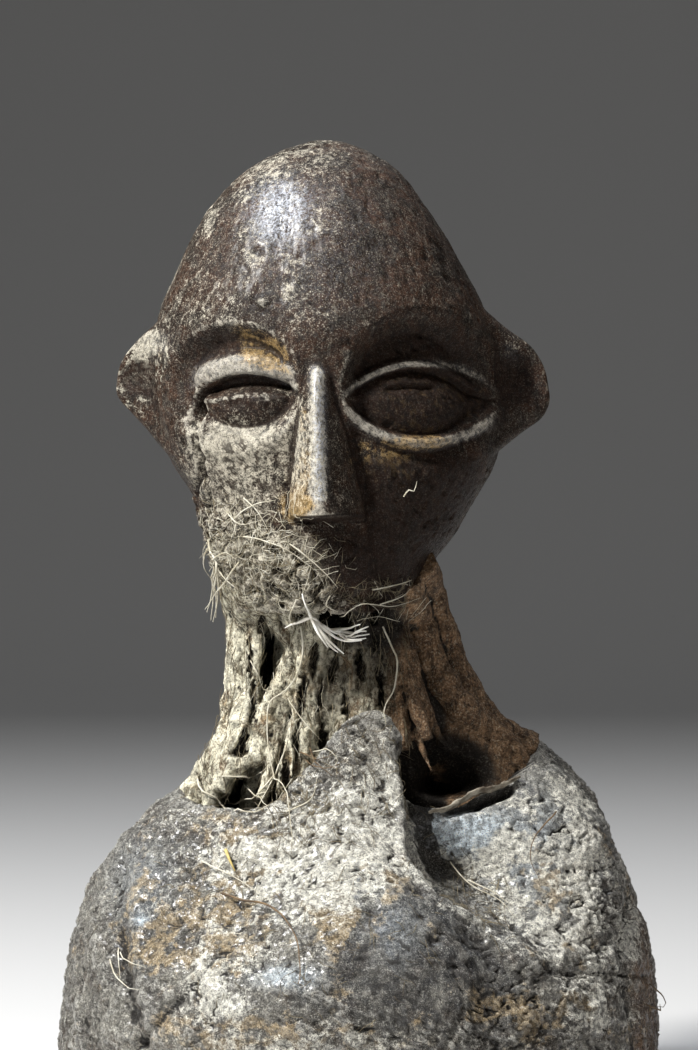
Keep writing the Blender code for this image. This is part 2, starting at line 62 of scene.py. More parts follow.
def domeTrack(stations, drop):
    return track([(math.sqrt(at), value) for at, value in stations], np.sqrt(drop))


def ease(low, high, value):
    t = np.clip((value - low) / (high - low), 0, 1)
    return t * t * (3 - 2 * t)


def bell(distance, spread):
    return np.exp(-(distance / spread) ** 2)


def rounded(value, power):
    return np.sign(value) * np.abs(value) ** power


def lineDistance(x, y, points):
    # distance from a polyline, and the side of it: + to the right going along it
    best = np.full(np.shape(x), np.inf)
    side = np.zeros(np.shape(x))
    for (ax, ay), (bx, by) in zip(points, points[1:]):
        dx, dy = bx - ax, by - ay
        t = np.clip(((x - ax) * dx + (y - ay) * dy) / (dx * dx + dy * dy), 0, 1)
        away = np.hypot(x - ax - t * dx, y - ay - t * dy)
        turn = np.sign(dx * (y - ay) - dy * (x - ax))
        side = np.where(away < best, turn, side)
        best = np.minimum(best, away)
    return best, side


def stroke(x, y, points, spread):
    return bell(lineDistance(x, y, points)[0], spread)


def spot(x, y, centre, radii, tilt=0.0, power=2):  # 1 in the middle of an ellipse, fading out
    dx, dy = x - centre[0], y - centre[1]
    turn = math.radians(tilt)
    along = dx * math.cos(turn) + dy * math.sin(turn)
    beside = dy * math.cos(turn) - dx * math.sin(turn)
    return np.exp(-np.hypot(along / radii[0], beside / radii[1]) ** power)


def spots(x, y, marks):  # soft spots added up: (amount, centre, radii, tilt, power)
    return sum(amount * spot(x, y, *place) for amount, *place in marks)


def pictureOf(points):  # where the camera sees each point, in pixels
    eye, pixel = view["eye"], view["pixel"]
    reach = -eye[1] / (points[..., 1] - eye[1])
    return (view["middle"][0] + (points[..., 0] - eye[0]) * reach / pixel,
            view["middle"][1] - (points[..., 2] - eye[2]) * reach / pixel)


def cloud(points, size, octaves=3, seed=0, stretch=(1, 1, 1), rough=0.8):
    # fractal noise, about -1 to 1
    scaled = points / (np.array(stretch) * size) + np.array([seed * 7.31, seed * -3.17, seed * 5.73])
    return np.array([noise.fractal(Vector(p), rough, 2.0, octaves) for p in scaled.reshape(-1, 3).tolist()]
                    ).reshape(points.shape[:-1])


def cells(points, size, seed=0, stretch=(1, 1, 1)):  # distance from the nearest cell wall, 0 on it
    scaled = points / (np.array(stretch) * size) + np.array([seed * 3.7, seed * 9.1, seed * -4.3])
    found = [noise.voronoi(Vector(p))[0] for p in scaled.reshape(-1, 3).tolist()]
    return np.array([near[1] - near[0] for near in found]).reshape(points.shape[:-1])


def spacedBy(weight, low, high, count, closed=False):  # stations packed where the weight is high
    fine = np.linspace(low, high, 4000)
    gathered = np.concatenate([[0], np.cumsum((weight(fine)[1:] + weight(fine)[:-1]) / 2)])
    return np.interp(np.linspace(0, gathered[-1], count, endpoint=not closed), gathered, fine)


def alongNormal(form, azimuth, share, step=1e-3):
    here = form(azimuth, share)
    up = form(azimuth, share - step) - form(azimuth, share + step)
    sideways = form(azimuth + step, share) - form(azimuth - step, share)
    normal = np.cross(sideways, up)
    return here, normal / np.maximum(np.linalg.norm(normal, axis=-1, keepdims=True), 1e-14)


def ringPoint(azimuth, halfWidth, front, back, squareness):
    depth = np.where(np.cos(azimuth) > 0, front, back)
    return halfWidth * rounded(np.sin(azimuth), squareness), -depth * rounded(np.cos(azimuth), squareness)


# mesh helpers

def meshFrom(name, points, faces):
    mesh = bpy.data.meshes.new(name)
    mesh.from_pydata(points.tolist() if hasattr(points, "tolist") else points, [], faces)
    work = bmesh.new()
    work.from_mesh(mesh)
    bmesh.ops.recalc_face_normals(work, faces=work.faces)
    work.to_mesh(mesh)
    work.free()
    mesh.shade_smooth()
    return mesh


def loft(name, rings, top, foot):  # closed skin over rings of points with a point over each end
    rows, columns = rings.shape[:2]
    grid = np.arange(rows * columns).reshape(rows, columns)
    over, under = grid[:-1], grid[1:]
    quads = np.stack([over, np.roll(over, -1, 1), np.roll(under, -1, 1), under], -1).reshape(-1, 4).tolist()
    last = rows * columns
    for n in range(columns):
        quads.append((last, int(grid[0, n]), int(grid[0, (n + 1) % columns])))
        quads.append((last + 1, int(grid[-1, (n + 1) % columns]), int(grid[-1, n])))
    points = np.concatenate([rings.reshape(-1, 3), [top], [foot]])
    return meshFrom(name, points, quads)


def placed(name, mesh, material):
    piece = bpy.data.objects.new(name, mesh)
    scene.collection.objects.link(piece)
    mesh.materials.clear()
    mesh.materials.append(material)
    return piece


def pointsOf(mesh, what="co"):
    flat = np.zeros(len(mesh.vertices) * 3, np.float32)
    mesh.vertices.foreach_get(what, flat)
    return flat.reshape(-1, 3).astype(float)


def movePoints(mesh, points):
    mesh.vertices.foreach_set("co", points.astype(np.float32).ravel())
    mesh.update()


def keep(mesh, name, values):  # store one number for each point, for the material to read
    layer = mesh.attributes.get(name) or mesh.attributes.new(name, "FLOAT", "POINT")
    layer.data.foreach_set("value", np.ascontiguousarray(values, np.float32))


def readBack(mesh, name):
    values = np.zeros(len(mesh.vertices), np.float32)
    mesh.attributes[name].data.foreach_get("value", values)
    return values


def softened(mesh, points, rounds):  # each point drawn halfway to the middle of its neighbours
    edges = np.zeros(len(mesh.edges) * 2, np.int32)
    mesh.edges.foreach_get("vertices", edges)
    a, b = edges.reshape(-1, 2).T
    count = np.maximum(np.bincount(a, minlength=len(points)) + np.bincount(b, minlength=len(points)), 1)
    for _ in range(rounds):
        around = [np.bincount(a, points[b, n], len(points)) + np.bincount(b, points[a, n], len(points))
                  for n in range(3)]
        points = np.stack([total / count for total in around], -1) * 0.5 + points * 0.5
    return points


def readShape(mesh, fine=4, coarse=50, fineSize=0.00006, coarseSize=0.0006):
    # how far each point stands out of its surroundings (worn) or lies in them (hollow: painted shade and
    # grime in the hollows)
    points, normals = pointsOf(mesh), pointsOf(mesh, "normal")
    near = softened(mesh, points, fine)
    out = np.clip(((points - near) * normals).sum(-1) / fineSize, -1, 1)
    far = softened(mesh, near, coarse)
    wide = np.clip(((near - far) * normals).sum(-1) / coarseSize, -1, 1)
    keep(mesh, "worn", np.clip(0.45 * out + 0.75 * wide, 0, 1))
    keep(mesh, "hollow", np.clip(-0.35 * out - 0.9 * wide, 0, 1))
    return out, wide


def treeOf(mesh):
    work = bmesh.new()
    work.from_mesh(mesh)
    tree = BVHTree.FromBMesh(work)
    work.free()
    return tree


def onto(trees, across, down, lift=0.0):  # drop a spot of the view onto what is seen there
    eye = Vector(view["eye"])
    target = Vector((eye.x + (across - view["middle"][0]) * view["pixel"], 0,
                     eye.z + (view["middle"][1] - down) * view["pixel"]))
    ray = (target - eye).normalized()
    hits = [tree.ray_cast(eye, ray)[0] for tree in trees]
    hits = [hit for hit in hits if hit is not None]
    if hits:
        hit = min(hits, key=lambda point: (point - eye).length)
        return hit - ray * lift, ray
    near = min((tree.find_nearest(target) for tree in trees), key=lambda found: found[3])[0]
    return eye + ray * ((near.y - eye.y) / ray.y - lift), ray


def smoothLine(points, step):  # Catmull-Rom through the points, cut into even steps
    points = np.array(points, float)
    padded = np.concatenate([[2 * points[0] - points[1]], points, [2 * points[-1] - points[-2]]])
    line = []
    for p0, p1, p2, p3 in zip(padded, padded[1:], padded[2:], padded[3:]):
        count = max(2, int(np.linalg.norm(p2 - p1) / step))
        for t in np.linspace(0, 1, count, endpoint=False):
            line.append(0.5 * (2 * p1 + (p2 - p0) * t + (2 * p0 - 5 * p1 + 4 * p2 - p3) * t ** 2
                               + (3 * p1 - p0 - 3 * p2 + p3) * t ** 3))
    line.append(points[-1])
    return np.array(line)


def tube(path, radii, sides, points, faces):  # adds a closed tube along a path to points and faces
    path = np.asarray(path, float)
    ahead = np.gradient(path, axis=0)
    ahead /= np.maximum(np.linalg.norm(ahead, axis=-1, keepdims=True), 1e-12)
    across = np.cross(ahead[0], (0.13, 0.97, 0.21))
    start = len(points)
    for n, (centre, forward, radius) in enumerate(zip(path, ahead, radii)):
        across = across - forward * across.dot(forward)
        across /= max(np.linalg.norm(across), 1e-12)
        up = np.cross(forward, across)
        for turn in np.linspace(0, 2 * math.pi, sides, endpoint=False):
            points.append(tuple(centre + radius * (across * math.cos(turn) + up * math.sin(turn))))
        if n:
            for k in range(sides):
                low = start + (n - 1) * sides
                faces.append((low + k, low + (k + 1) % sides, low + sides + (k + 1) % sides, low + sides + k))
    end = start + (len(path) - 1) * sides
    faces.append(tuple(range(start, start + sides))[::-1])
    faces.append(tuple(range(end, end + sides)))


def evaluated(piece):  # what the modifiers make, as a plain mesh
    mesh = bpy.data.meshes.new_from_object(piece.evaluated_get(bpy.context.evaluated_depsgraph_get()))
    bpy.data.objects.remove(piece)
    mesh.shade_smooth()
    return mesh


# node helpers

def node(tree, kind, inputs=None, **settings):
    made = tree.nodes.new(kind)
    for key, value in settings.items():
        setattr(made, key, value)
    for key, value in (inputs or {}).items():
        if isinstance(value, bpy.types.NodeSocket):
            tree.links.new(value, made.inputs[key])
        else:
            made.inputs[key].default_value = value
    return made


def newGroup(name, kind, inputs, outputs):
    tree = bpy.data.node_groups.new(name, kind)
    for label, socketKind, value in inputs:
        socket = tree.interface.new_socket(label, in_out="INPUT", socket_type=f"NodeSocket{socketKind}")
        if value is not None:
            socket.default_value = value
    for label, socketKind in outputs:
        tree.interface.new_socket(label, in_out="OUTPUT", socket_type=f"NodeSocket{socketKind}")
    return tree, tree.nodes.new("NodeGroupInput").outputs, tree.nodes.new("NodeGroupOutput").inputs


def calculate(tree, operation, a, b, clamp=False):
    return node(tree, "ShaderNodeMath", {0: a, 1: b}, operation=operation, use_clamp=clamp).outputs[0]


def times(tree, a, b, clamp=False):
    return calculate(tree, "MULTIPLY", a, b, clamp)


def plus(tree, a, b, clamp=False):
    return calculate(tree, "ADD", a, b, clamp)


def minus(tree, a, b, clamp=False):
    return calculate(tree, "SUBTRACT", a, b, clamp)


def blendColours(tree, share, a, b):  # a colour is a socket or three numbers
    a, b = ((*colour, 1) if isinstance(colour, tuple) else colour for colour in (a, b))
    return node(tree, "ShaderNodeMix", {0: share, 6: a, 7: b}, data_type="RGBA").outputs[2]


def ramp(tree, value, low, high):  # eases from one (position, value) to another
    return node(tree, "ShaderNodeMapRange", {0: value, 1: low[0], 2: high[0], 3: low[1], 4: high[1]},
                interpolation_type="SMOOTHSTEP").outputs[0]


def attribute(tree, name):
    return node(tree, "ShaderNodeAttribute", attribute_name=name).outputs["Fac"]


def clouds(tree, place, scale, detail=4, rough=0.6, stretch=(1, 1, 1), warp=0.0):
    mapped = node(tree, "ShaderNodeMapping", {"Vector": place, "Scale": stretch}).outputs[0]
    return node(tree, "ShaderNodeTexNoise", {"Vector": mapped, "Scale": scale, "Detail": detail,
                                             "Roughness": rough, "Distortion": warp}).outputs[0]


# shader groups: shared by every finish

def makeWeatherGroup():
    # lays worn edges, ochre earth, pale dust and painted light, painted shade and grime in hollows, and
    # speckle over a base colour
    tree, given, out = newGroup("weathering", "ShaderNodeTree", [
        ("Base", "Color", (0.1, 0.1, 0.1, 1)), ("Worn Colour", "Color", (0.3, 0.3, 0.3, 1)),
        ("Hollow Colour", "Color", (0.02, 0.02, 0.02, 1)), ("Earth Colour", "Color", (0.4, 0.3, 0.1, 1)),
        ("Dust Colour", "Color", (0.5, 0.5, 0.45, 1)), ("Worn", "Float", 0.5), ("Hollow", "Float", 0.7),
        ("Earth", "Float", 1.0), ("Dust", "Float", 1.0), ("Speckle", "Float", 0.3), ("Size", "Float", 0.001)],
        [("Color", "Color"), ("Dusty", "Float")])
    place = node(tree, "ShaderNodeTexCoord").outputs["Object"]
    scale = calculate(tree, "DIVIDE", 1.0, given["Size"])
    broken = clouds(tree, place, scale, 6, 0.72)
    fine = clouds(tree, place, times(tree, scale, 4.1), 3, 0.7)
    ragged = plus(tree, times(tree, broken, 0.65), times(tree, fine, 0.35))

    def layer(colour, label, edge):  # an attribute frayed by the noise decides where
        frayed = plus(tree, attribute(tree, label.lower()), times(tree, minus(tree, ragged, 0.5), edge))
        mask = times(tree, ramp(tree, frayed, (0.33, 0), (0.66, 1)), given[label], clamp=True)
        return blendColours(tree, mask, colour, given[label + " Colour"]), mask

    colour, _ = layer(given["Base"], "Worn", 1.1)
    colour, _ = layer(colour, "Earth", 1.5)
    colour, dusty = layer(colour, "Dust", 1.9)
    colour, sooty = layer(colour, "Hollow", 0.8)
    # pale and dark grains, fewer pale ones under painted shade and grime
    light = times(tree, ramp(tree, fine, (0.53, 0), (0.66, 1)), given["Speckle"])
    light = times(tree, light, minus(tree, 1.0, times(tree, sooty, 0.7)))
    dark = times(tree, ramp(tree, fine, (0.48, 0), (0.36, 1)), given["Speckle"])
    dustShare = plus(tree, 0.32, times(tree, attribute(tree, "dust"), 0.9), clamp=True)
    colour = blendColours(tree, light, colour, blendColours(tree, dustShare, colour, given["Dust Colour"]))
    colour = blendColours(tree, dark, colour, blendColours(tree, 0.85, colour, given["Hollow Colour"]))
    shade = ramp(tree, broken, (0.36, 0.50), (0.62, 1.45))
    colour = node(tree, "ShaderNodeVectorMath", {0: colour, "Scale": shade}, operation="SCALE").outputs[0]
    tree.links.new(colour, out["Color"])
    tree.links.new(dusty, out["Dusty"])
    return tree


def makeCrumbGroup():
    # height of a gritty, pitted skin
    tree, given, out = newGroup("crumb", "ShaderNodeTree", [
        ("Size", "Float", 0.0008), ("Pits", "Float", 0.5)], [("Height", "Float"), ("Grit", "Float")])
    place = node(tree, "ShaderNodeTexCoord").outputs["Object"]
    scale = calculate(tree, "DIVIDE", 1.0, given["Size"])
    broad = clouds(tree, place, scale, 7, 0.74)
    grit = node(tree, "ShaderNodeTexVoronoi", {"Vector": place, "Scale": times(tree, scale, 2.3)}).outputs[0]
    pits = times(tree, ramp(tree, grit, (0.0, 1), (0.33, 0)), given["Pits"])
    tree.links.new(minus(tree, broad, pits), out["Height"])
    tree.links.new(grit, out["Grit"])
    return tree


weathering, crumb = makeWeatherGroup(), makeCrumbGroup()


def newMaterial(name, specular):
    made = bpy.data.materials.new(name)
    made.use_nodes = True
    tree = made.node_tree
    shader = tree.nodes["Principled BSDF"]
    shader.inputs["Coat Roughness"].default_value = 0.3
    shader.inputs["Specular IOR Level"].default_value = specular
    return made, tree, shader, node(tree, "ShaderNodeTexCoord").outputs["Object"]


def weathered(tree, base, looks):
    made = node(tree, "ShaderNodeGroup", {"Base": base}, node_tree=weathering)
    for label, amount in zip(("Worn", "Hollow", "Earth", "Dust"), looks["amounts"]):
        made.inputs[label].default_value = amount
        made.inputs[label + " Colour"].default_value = (*looks[label.lower()], 1)
    made.inputs["Speckle"].default_value, made.inputs["Size"].default_value = looks["speckle"]
    return made.outputs


def mottled(tree, place, scale, first, second, third):  # three colours in ragged patches
    a = clouds(tree, place, scale, 5, 0.65, warp=0.6)
    b = clouds(tree, place, scale * 2.7, 5, 0.7, warp=0.6)
    colour = blendColours(tree, ramp(tree, a, (0.40, 0), (0.62, 1)), first, second)
    return blendColours(tree, ramp(tree, b, (0.48, 0), (0.68, 1)), colour, third)


def bumped(tree, shader, heights):  # chain of bumps, each (height, strength, distance)
    normal = None
    for height, strength, distance in heights:
        made = node(tree, "ShaderNodeBump", {"Strength": strength, "Distance": distance, "Height": height})
        if normal:
            tree.links.new(normal, made.inputs["Normal"])
        normal = made.outputs[0]
    tree.links.new(normal, shader.inputs["Normal"])


def crumbs(tree, size, pits):
    return node(tree, "ShaderNodeGroup", {"Size": size, "Pits": pits}, node_tree=crumb).outputs


# colours of the finishes; amounts are for worn, shade and grime, earth, and dust with painted light; speckle
# is (amount, size)
woodLooks = {"dark": (0.013, 0.007, 0.004), "warm": (0.036, 0.016, 0.008), "grey": (0.040, 0.032, 0.026),
             "worn": (0.40, 0.37, 0.31), "hollow": (0.011, 0.0045, 0.0020), "earth": (0.30, 0.20, 0.08),
             "dust": (0.40, 0.37, 0.30), "glint": (0.70, 0.74, 0.84), "grain": 0.0009,
             "amounts": (0.70, 0.92, 0.80, 0.75), "speckle": (0.85, 0.0009)}


def makeDarkWood(looks=woodLooks):
    made, tree, shader, place = newMaterial("darkWood", specular=0.14)
    polish = attribute(tree, "polish")
    waxed = times(tree, polish, ramp(tree, clouds(tree, place, 1100, 5, 0.75), (0.36, 0.15), (0.58, 1.0)))
    glints = ramp(tree, clouds(tree, place, 3600, 3, 0.8), (0.58, 0.0), (0.68, 0.35))
    tree.links.new(calculate(tree, "MAXIMUM", waxed, glints), shader.inputs["Coat Weight"])
    base = mottled(tree, place, 160, looks["dark"], looks["warm"], looks["grey"])
    grain = clouds(tree, place, 1 / looks["grain"], 5, 0.7, stretch=(1, 1, 0.16), warp=0.4)
    base = blendColours(tree, ramp(tree, grain, (0.56, 0), (0.72, 0.30)), base, looks["dust"])
    base = blendColours(tree, ramp(tree, grain, (0.46, 0), (0.34, 0.7)), base, looks["hollow"])
    outs = weathered(tree, base, looks)
    # painted highlight: where polish is high the colour turns a grainy bluish white, on the forehead, nose
    # ridge, lids and ears
    rubbed = times(tree, calculate(tree, "POWER", polish, 1.6),
                   ramp(tree, clouds(tree, place, 2600, 4, 0.75), (0.42, 0.0), (0.60, 0.62)))
    tree.links.new(blendColours(tree, rubbed, outs["Color"], looks["glint"]), shader.inputs["Base Color"])
    grit = crumbs(tree, 0.0011, 0.35)
    rough = plus(tree, 0.38, times(tree, outs["Dusty"], 0.25))
    rough = plus(tree, rough, times(tree, grit["Grit"], 0.35))
    rough = minus(tree, rough, times(tree, polish, 0.12), clamp=True)
    tree.links.new(rough, shader.inputs["Roughness"])
    bumped(tree, shader, [(grain, 0.55, 0.00030), (grit["Height"], 0.7, 0.00038),
                          (crumbs(tree, 0.00035, 0.3)["Height"], 0.9, 0.00016)])
    return made


raffiaLooks = {"dun": (0.16, 0.13, 0.085), "straw": (0.38, 0.36, 0.27), "brown": (0.130, 0.074, 0.037),
               "russet": (0.215, 0.132, 0.073), "umber": (0.045, 0.023, 0.011),
               "hollow": (0.008, 0.005, 0.003), "worn": (0.60, 0.57, 0.45), "earth": (0.30, 0.20, 0.09),
               "dust": (0.60, 0.57, 0.45),
               "amounts": (0.6, 1.0, 0.5, 0.7), "speckle": (0.8, 0.0013)}


def makeRaffia(looks=raffiaLooks):
    made, tree, shader, place = newMaterial("earthyRaffia", specular=0.3)
    base = blendColours(tree, attribute(tree, "brown"),
                        mottled(tree, place, 210, looks["dun"], looks["straw"], looks["brown"]),
                        mottled(tree, place, 260, looks["brown"], looks["russet"], looks["umber"]))
    fibre = clouds(tree, place, 1500, 4, 0.65, stretch=(1, 1, 0.14), warp=0.5)
    base = blendColours(tree, ramp(tree, fibre, (0.47, 0), (0.36, 0.6)), base, looks["hollow"])
    tree.links.new(weathered(tree, base, looks)["Color"], shader.inputs["Base Color"])
    grit = crumbs(tree, 0.0008, 0.3)
    tree.links.new(plus(tree, 0.62, times(tree, grit["Grit"], 0.4), clamp=True), shader.inputs["Roughness"])
    bumped(tree, shader, [(fibre, 0.6, 0.0003), (grit["Height"], 0.9, 0.0004)])
    return made


crustLooks = {"grey": (0.140, 0.130, 0.114), "pale": (0.29, 0.275, 0.235), "umber": (0.075, 0.052, 0.034),
              "inky": (0.020, 0.021, 0.026), "bark": (0.085, 0.043, 0.021), "rust": (0.17, 0.095, 0.045),
              "hollow": (0.012, 0.009, 0.007), "worn": (0.48, 0.47, 0.43), "earth": (0.47, 0.34, 0.17),
              "dust": (0.76, 0.74, 0.66), "blue": (0.76, 0.86, 0.94),
              "amounts": (0.5, 0.97, 0.55, 0.85), "speckle": (1.0, 0.0008)}


def makeCrust(looks=crustLooks):
    made, tree, shader, place = newMaterial("resinCrust", specular=0.4)
    glossy = ramp(tree, clouds(tree, place, 900, 5, 0.75), (0.50, 0.0), (0.60, 1.0))
    tree.links.new(glossy, shader.inputs["Coat Weight"])
    base = mottled(tree, place, 120, looks["grey"], looks["pale"], looks["umber"])
    inked = ramp(tree, clouds(tree, place, 260, 5, 0.7), (0.30, 1), (0.66, 0.15))
    base = blendColours(tree, times(tree, attribute(tree, "inky"), inked), base, looks["inky"])
    # bluish white: the blue-grey floor of the hollow, and painted highlights on small spots
    blued = ramp(tree, clouds(tree, place, 900, 4, 0.7), (0.36, 0.65), (0.54, 1))
    base = blendColours(tree, times(tree, attribute(tree, "blue"), blued), base, looks["blue"])
    base = blendColours(tree, attribute(tree, "brown"), base,
                        mottled(tree, place, 240, looks["bark"], looks["rust"], looks["umber"]))
    outs = weathered(tree, base, looks)
    crack = dryCracks(tree, place)
    colour = blendColours(tree, times(tree, crack, 0.55), outs["Color"], looks["hollow"])
    tree.links.new(colour, shader.inputs["Base Color"])
    grit = crumbs(tree, 0.0008, 0.4)
    rough = plus(tree, 0.42, times(tree, outs["Dusty"], 0.35))
    rough = plus(tree, rough, times(tree, grit["Grit"], 0.35), clamp=True)
    tree.links.new(rough, shader.inputs["Roughness"])
    bumped(tree, shader, [(minus(tree, 1.0, crack), 0.6, 0.00020), (grit["Height"], 0.9, 0.00042),
                          (crumbs(tree, 0.0004, 0.3)["Height"], 0.95, 0.00020)])
    return made


def dryCracks(tree, place):  # hair cracks, only where the crust has dried
    drift = node(tree, "ShaderNodeTexNoise", {"Vector": place, "Scale": 420.0, "Detail": 4.0}).outputs[1]
    drift = node(tree, "ShaderNodeVectorMath", {0: drift, "Scale": 0.0022}, operation="SCALE").outputs[0]
    bent = node(tree, "ShaderNodeVectorMath", {0: place, 1: drift}, operation="ADD").outputs[0]
    edges = node(tree, "ShaderNodeTexVoronoi", {"Vector": bent, "Scale": 330.0}, feature="DISTANCE_TO_EDGE")
    dried = ramp(tree, clouds(tree, place, 170, 4, 0.65), (0.50, 0), (0.60, 1))
    return times(tree, ramp(tree, edges.outputs[0], (0.006, 1), (0.040, 0)), dried)


def makeFibre(name, light, dark, roughness):
    made, tree, shader, place = newMaterial(name, specular=0.4)
    tone = clouds(tree, place, 420, 3, 0.6)
    streak = clouds(tree, place, 5200, 2, 0.6)
    colour = blendColours(tree, ramp(tree, tone, (0.35, 0), (0.65, 1)), dark, light)
    colour = blendColours(tree, ramp(tree, streak, (0.5, 0), (0.8, 0.5)), colour, dark)
    tree.links.new(colour, shader.inputs["Base Color"])
    tree.links.new(plus(tree, roughness, times(tree, tone, 0.2)), shader.inputs["Roughness"])
    bumped(tree, shader, [(streak, 0.4, 0.0001)])
    return made


darkWood, earthyRaffia, resinCrust = makeDarkWood(), makeRaffia(), makeCrust()
paleFibre = makeFibre("paleFibre", (0.66, 0.63, 0.53), (0.42, 0.38, 0.28), 0.5)
whiteFibre = makeFibre("whiteFibre", (0.90, 0.89, 0.85), (0.74, 0.70, 0.62), 0.45)
dunFibre = makeFibre("dunFibre", (0.24, 0.20, 0.125), (0.07, 0.055, 0.035), 0.6)
rootFibre = makeFibre("rootFibre", (0.17, 0.11, 0.055), (0.07, 0.045, 0.025), 0.55)
strawFibre = makeFibre("strawFibre", (0.62, 0.50, 0.20), (0.42, 0.31, 0.11), 0.5)
dryHide = makeFibre("dryHide", (0.34, 0.31, 0.25), (0.09, 0.07, 0.05), 0.75)
print("finishes ready")


# the carved head

head = {
    "height": 0.0696, "base": (-0.005, -0.0025, 0.0726), "columns": 380, "domeRows": 70, "faceRows": 188,
    # half widths and depths as (drop from the crown, share of the height)
    "width": [(0, 0), (0.017, 0.075), (0.056, 0.148), (0.103, 0.197), (0.157, 0.239), (0.22, 0.277),
              (0.28, 0.308), (0.34, 0.337), (0.40, 0.357), (0.50, 0.374), (0.58, 0.376), (0.65, 0.362),
              (0.70, 0.341), (0.77, 0.300), (0.85, 0.262), (0.90, 0.232), (0.95, 0.214), (1, 0.190)],
    "front": [(0, 0), (0.02, 0.080), (0.08, 0.168), (0.18, 0.240), (0.30, 0.295), (0.40, 0.325),
              (0.50, 0.330), (0.60, 0.326), (0.75, 0.312), (0.90, 0.290), (1, 0.245)],
    "back": [(0, 0), (0.02, 0.082), (0.08, 0.182), (0.18, 0.265), (0.30, 0.340), (0.40, 0.385),
             (0.52, 0.400), (0.65, 0.370), (0.80, 0.290), (0.90, 0.235), (1, 0.200)],
    "lean": [(0, -0.002), (0.06, -0.006), (0.12, -0.013), (0.22, -0.012), (0.34, -0.008), (0.50, 0.004),
             (0.65, 0.014), (0.77, 0.019), (0.85, 0.009), (0.90, 0.002), (0.95, 0.004), (1, 0.010)],
    "ears": {-1: [(0.34, 0.325), (0.388, 0.356), (0.427, 0.398), (0.466, 0.431), (0.513, 0.446),
                  (0.555, 0.442), (0.585, 0.415), (0.62, 0.383), (0.66, 0.350), (0.72, 0.300)],
             1: [(0.34, 0.325), (0.384, 0.362), (0.415, 0.401), (0.4375, 0.433), (0.474, 0.461),
                 (0.524, 0.476), (0.573, 0.476), (0.601, 0.458), (0.625, 0.424), (0.655, 0.386),
                 (0.70, 0.330)]},
    "earThickness": 0.078, "earMiddle": 0.012, "earDish": (0.415, 0.492),
    # creases and low ridges of the face: (height in pixels, spread, line)
    "creases": [(-6, 8, [(354, 430), (366, 490), (374, 530), (384, 596)]),
                (1.6, 5, [(366, 455), (376, 500), (382, 560)]),
                (-9, 6.5, [(196, 391), (232, 384), (284, 386)]),  # the lid overhangs the left eye
                (2.5, 2.5, [(194, 402), (214, 401), (238, 396)]),
                (-3.5, 3, [(392, 390), (412, 387), (440, 387)]),
                (2.0, 2.6, [(392, 385), (415, 381), (440, 383)]),
                (-3, 2.4, [(258, 290), (252, 303), (262, 311)])],
    "crack": [(190, 398), (190, 420), (197, 443), (201, 467), (207, 490), (211, 517), (218, 545)],
    "crackBranch": [(201, 467), (196, 500), (206, 540)],
    "knocks": [(-22, (190, 414), (6, 12), 0, 3), (4, (263, 302), (5, 5)), (-3.5, (257, 253), (6, 5))],
    "jawEdge": [(205, 500), (262, 514), (300, 540), (345, 585), (395, 600)],
    "noseRidge": [(317, 374), (319, 400), (320, 496)],
}
# the finish of the head, as spots of the view: (amount, centre, radii, tilt, power); the gloss spots also
# paint highlights on the forehead and the ears, and so do the ear dust spots
headMarks = {
    "polish": [(0.66, (280, 212), (31, 33), 0, 3), (0.25, (300, 240), (90, 90)), (0.6, (513, 350), (10, 14)),
               (0.4, (150, 343), (18, 14))],
    "earth": [(0.95, (262, 352), (34, 20), 35), (0.7, (300, 506), (16, 9)), (0.55, (290, 500), (16, 40)),
              (0.25, (304, 450), (8, 60)), (0.5, (148, 352), (20, 26)), (0.45, (380, 455), (40, 20)),
              (0.45, (425, 442), (40, 10))],
    "fleckedEarth": [(0.5, (304, 450), (8, 60)), (0.35, (400, 500), (60, 60), 0, 3),
                     (0.5, (140, 385), (20, 24))],
    "dust": [(0.50, (235, 480), (60, 60), 0, 3), (0.42, (240, 440), (60, 20)), (0.36, (300, 440), (14, 80))],
    "earDust": [(0.6, (150, 345), (18, 16)), (0.45, (513, 350), (12, 16))],
}

# the eyes are almonds between two arcs: centre, half length, rises and tilt in pixels of the view, then
# for each lid how far outside the opening it is full, begins to fall and has fallen, and its height
eyes = {
    "left": {"centre": (241, 397), "half": 55, "up": 21, "down": 30, "tilt": -3,
             "lidUp": (4, 15, 31, 11.5), "lidDown": (9, 14, 38, 4.5), "lens": 9},
    "right": {"centre": (424, 400), "half": 76, "up": 31, "down": 35, "tilt": 1,
              "lidUp": (4, 6, 14, 8.0), "lidDown": (6, 9, 20, 8.5), "lens": 12},
}
sockets = {"left": {"centre": (233, 388), "half": (67, 64), "depth": 18},
           "right": {"centre": (424, 392), "half": (80, 82), "depth": 25}}
nose = {"top": 366, "tip": 512, "foot": 522,
        "height": [(364, 5), (384, 18), (430, 34), (485, 49), (520, 60)],
        "ridge": [(364, 317), (400, 316), (450, 318), (500, 320), (522, 322)],
        "left": [(364, 10), (420, 19), (522, 34)], "right": [(364, 10), (420, 25), (522, 47)]}


def almond(along, beside, eye):
    reach = []
    for sign, rise in ((1, eye["up"]), (-1, eye["down"])):
        radius = (eye["half"] ** 2 + rise ** 2) / (2 * rise)
        reach.append(np.hypot(along, beside - sign * (radius - rise)) - radius)
    return np.maximum(*reach)


def eyeRelief(x, y, eye):
    turn = math.radians(eye["tilt"])
    dx, dy = x - eye["centre"][0], y - eye["centre"][1]
    along, beside = dx * math.cos(turn) + dy * math.sin(turn), dy * math.cos(turn) - dx * math.sin(turn)
    outside = almond(along, beside, eye)
    rise = np.clip(-outside / (0.5 * (eye["up"] + eye["down"])), 0, 1)
    return eye["lens"] * (1 - (1 - rise) ** 2) + lidRelief(along, beside, outside, eye)


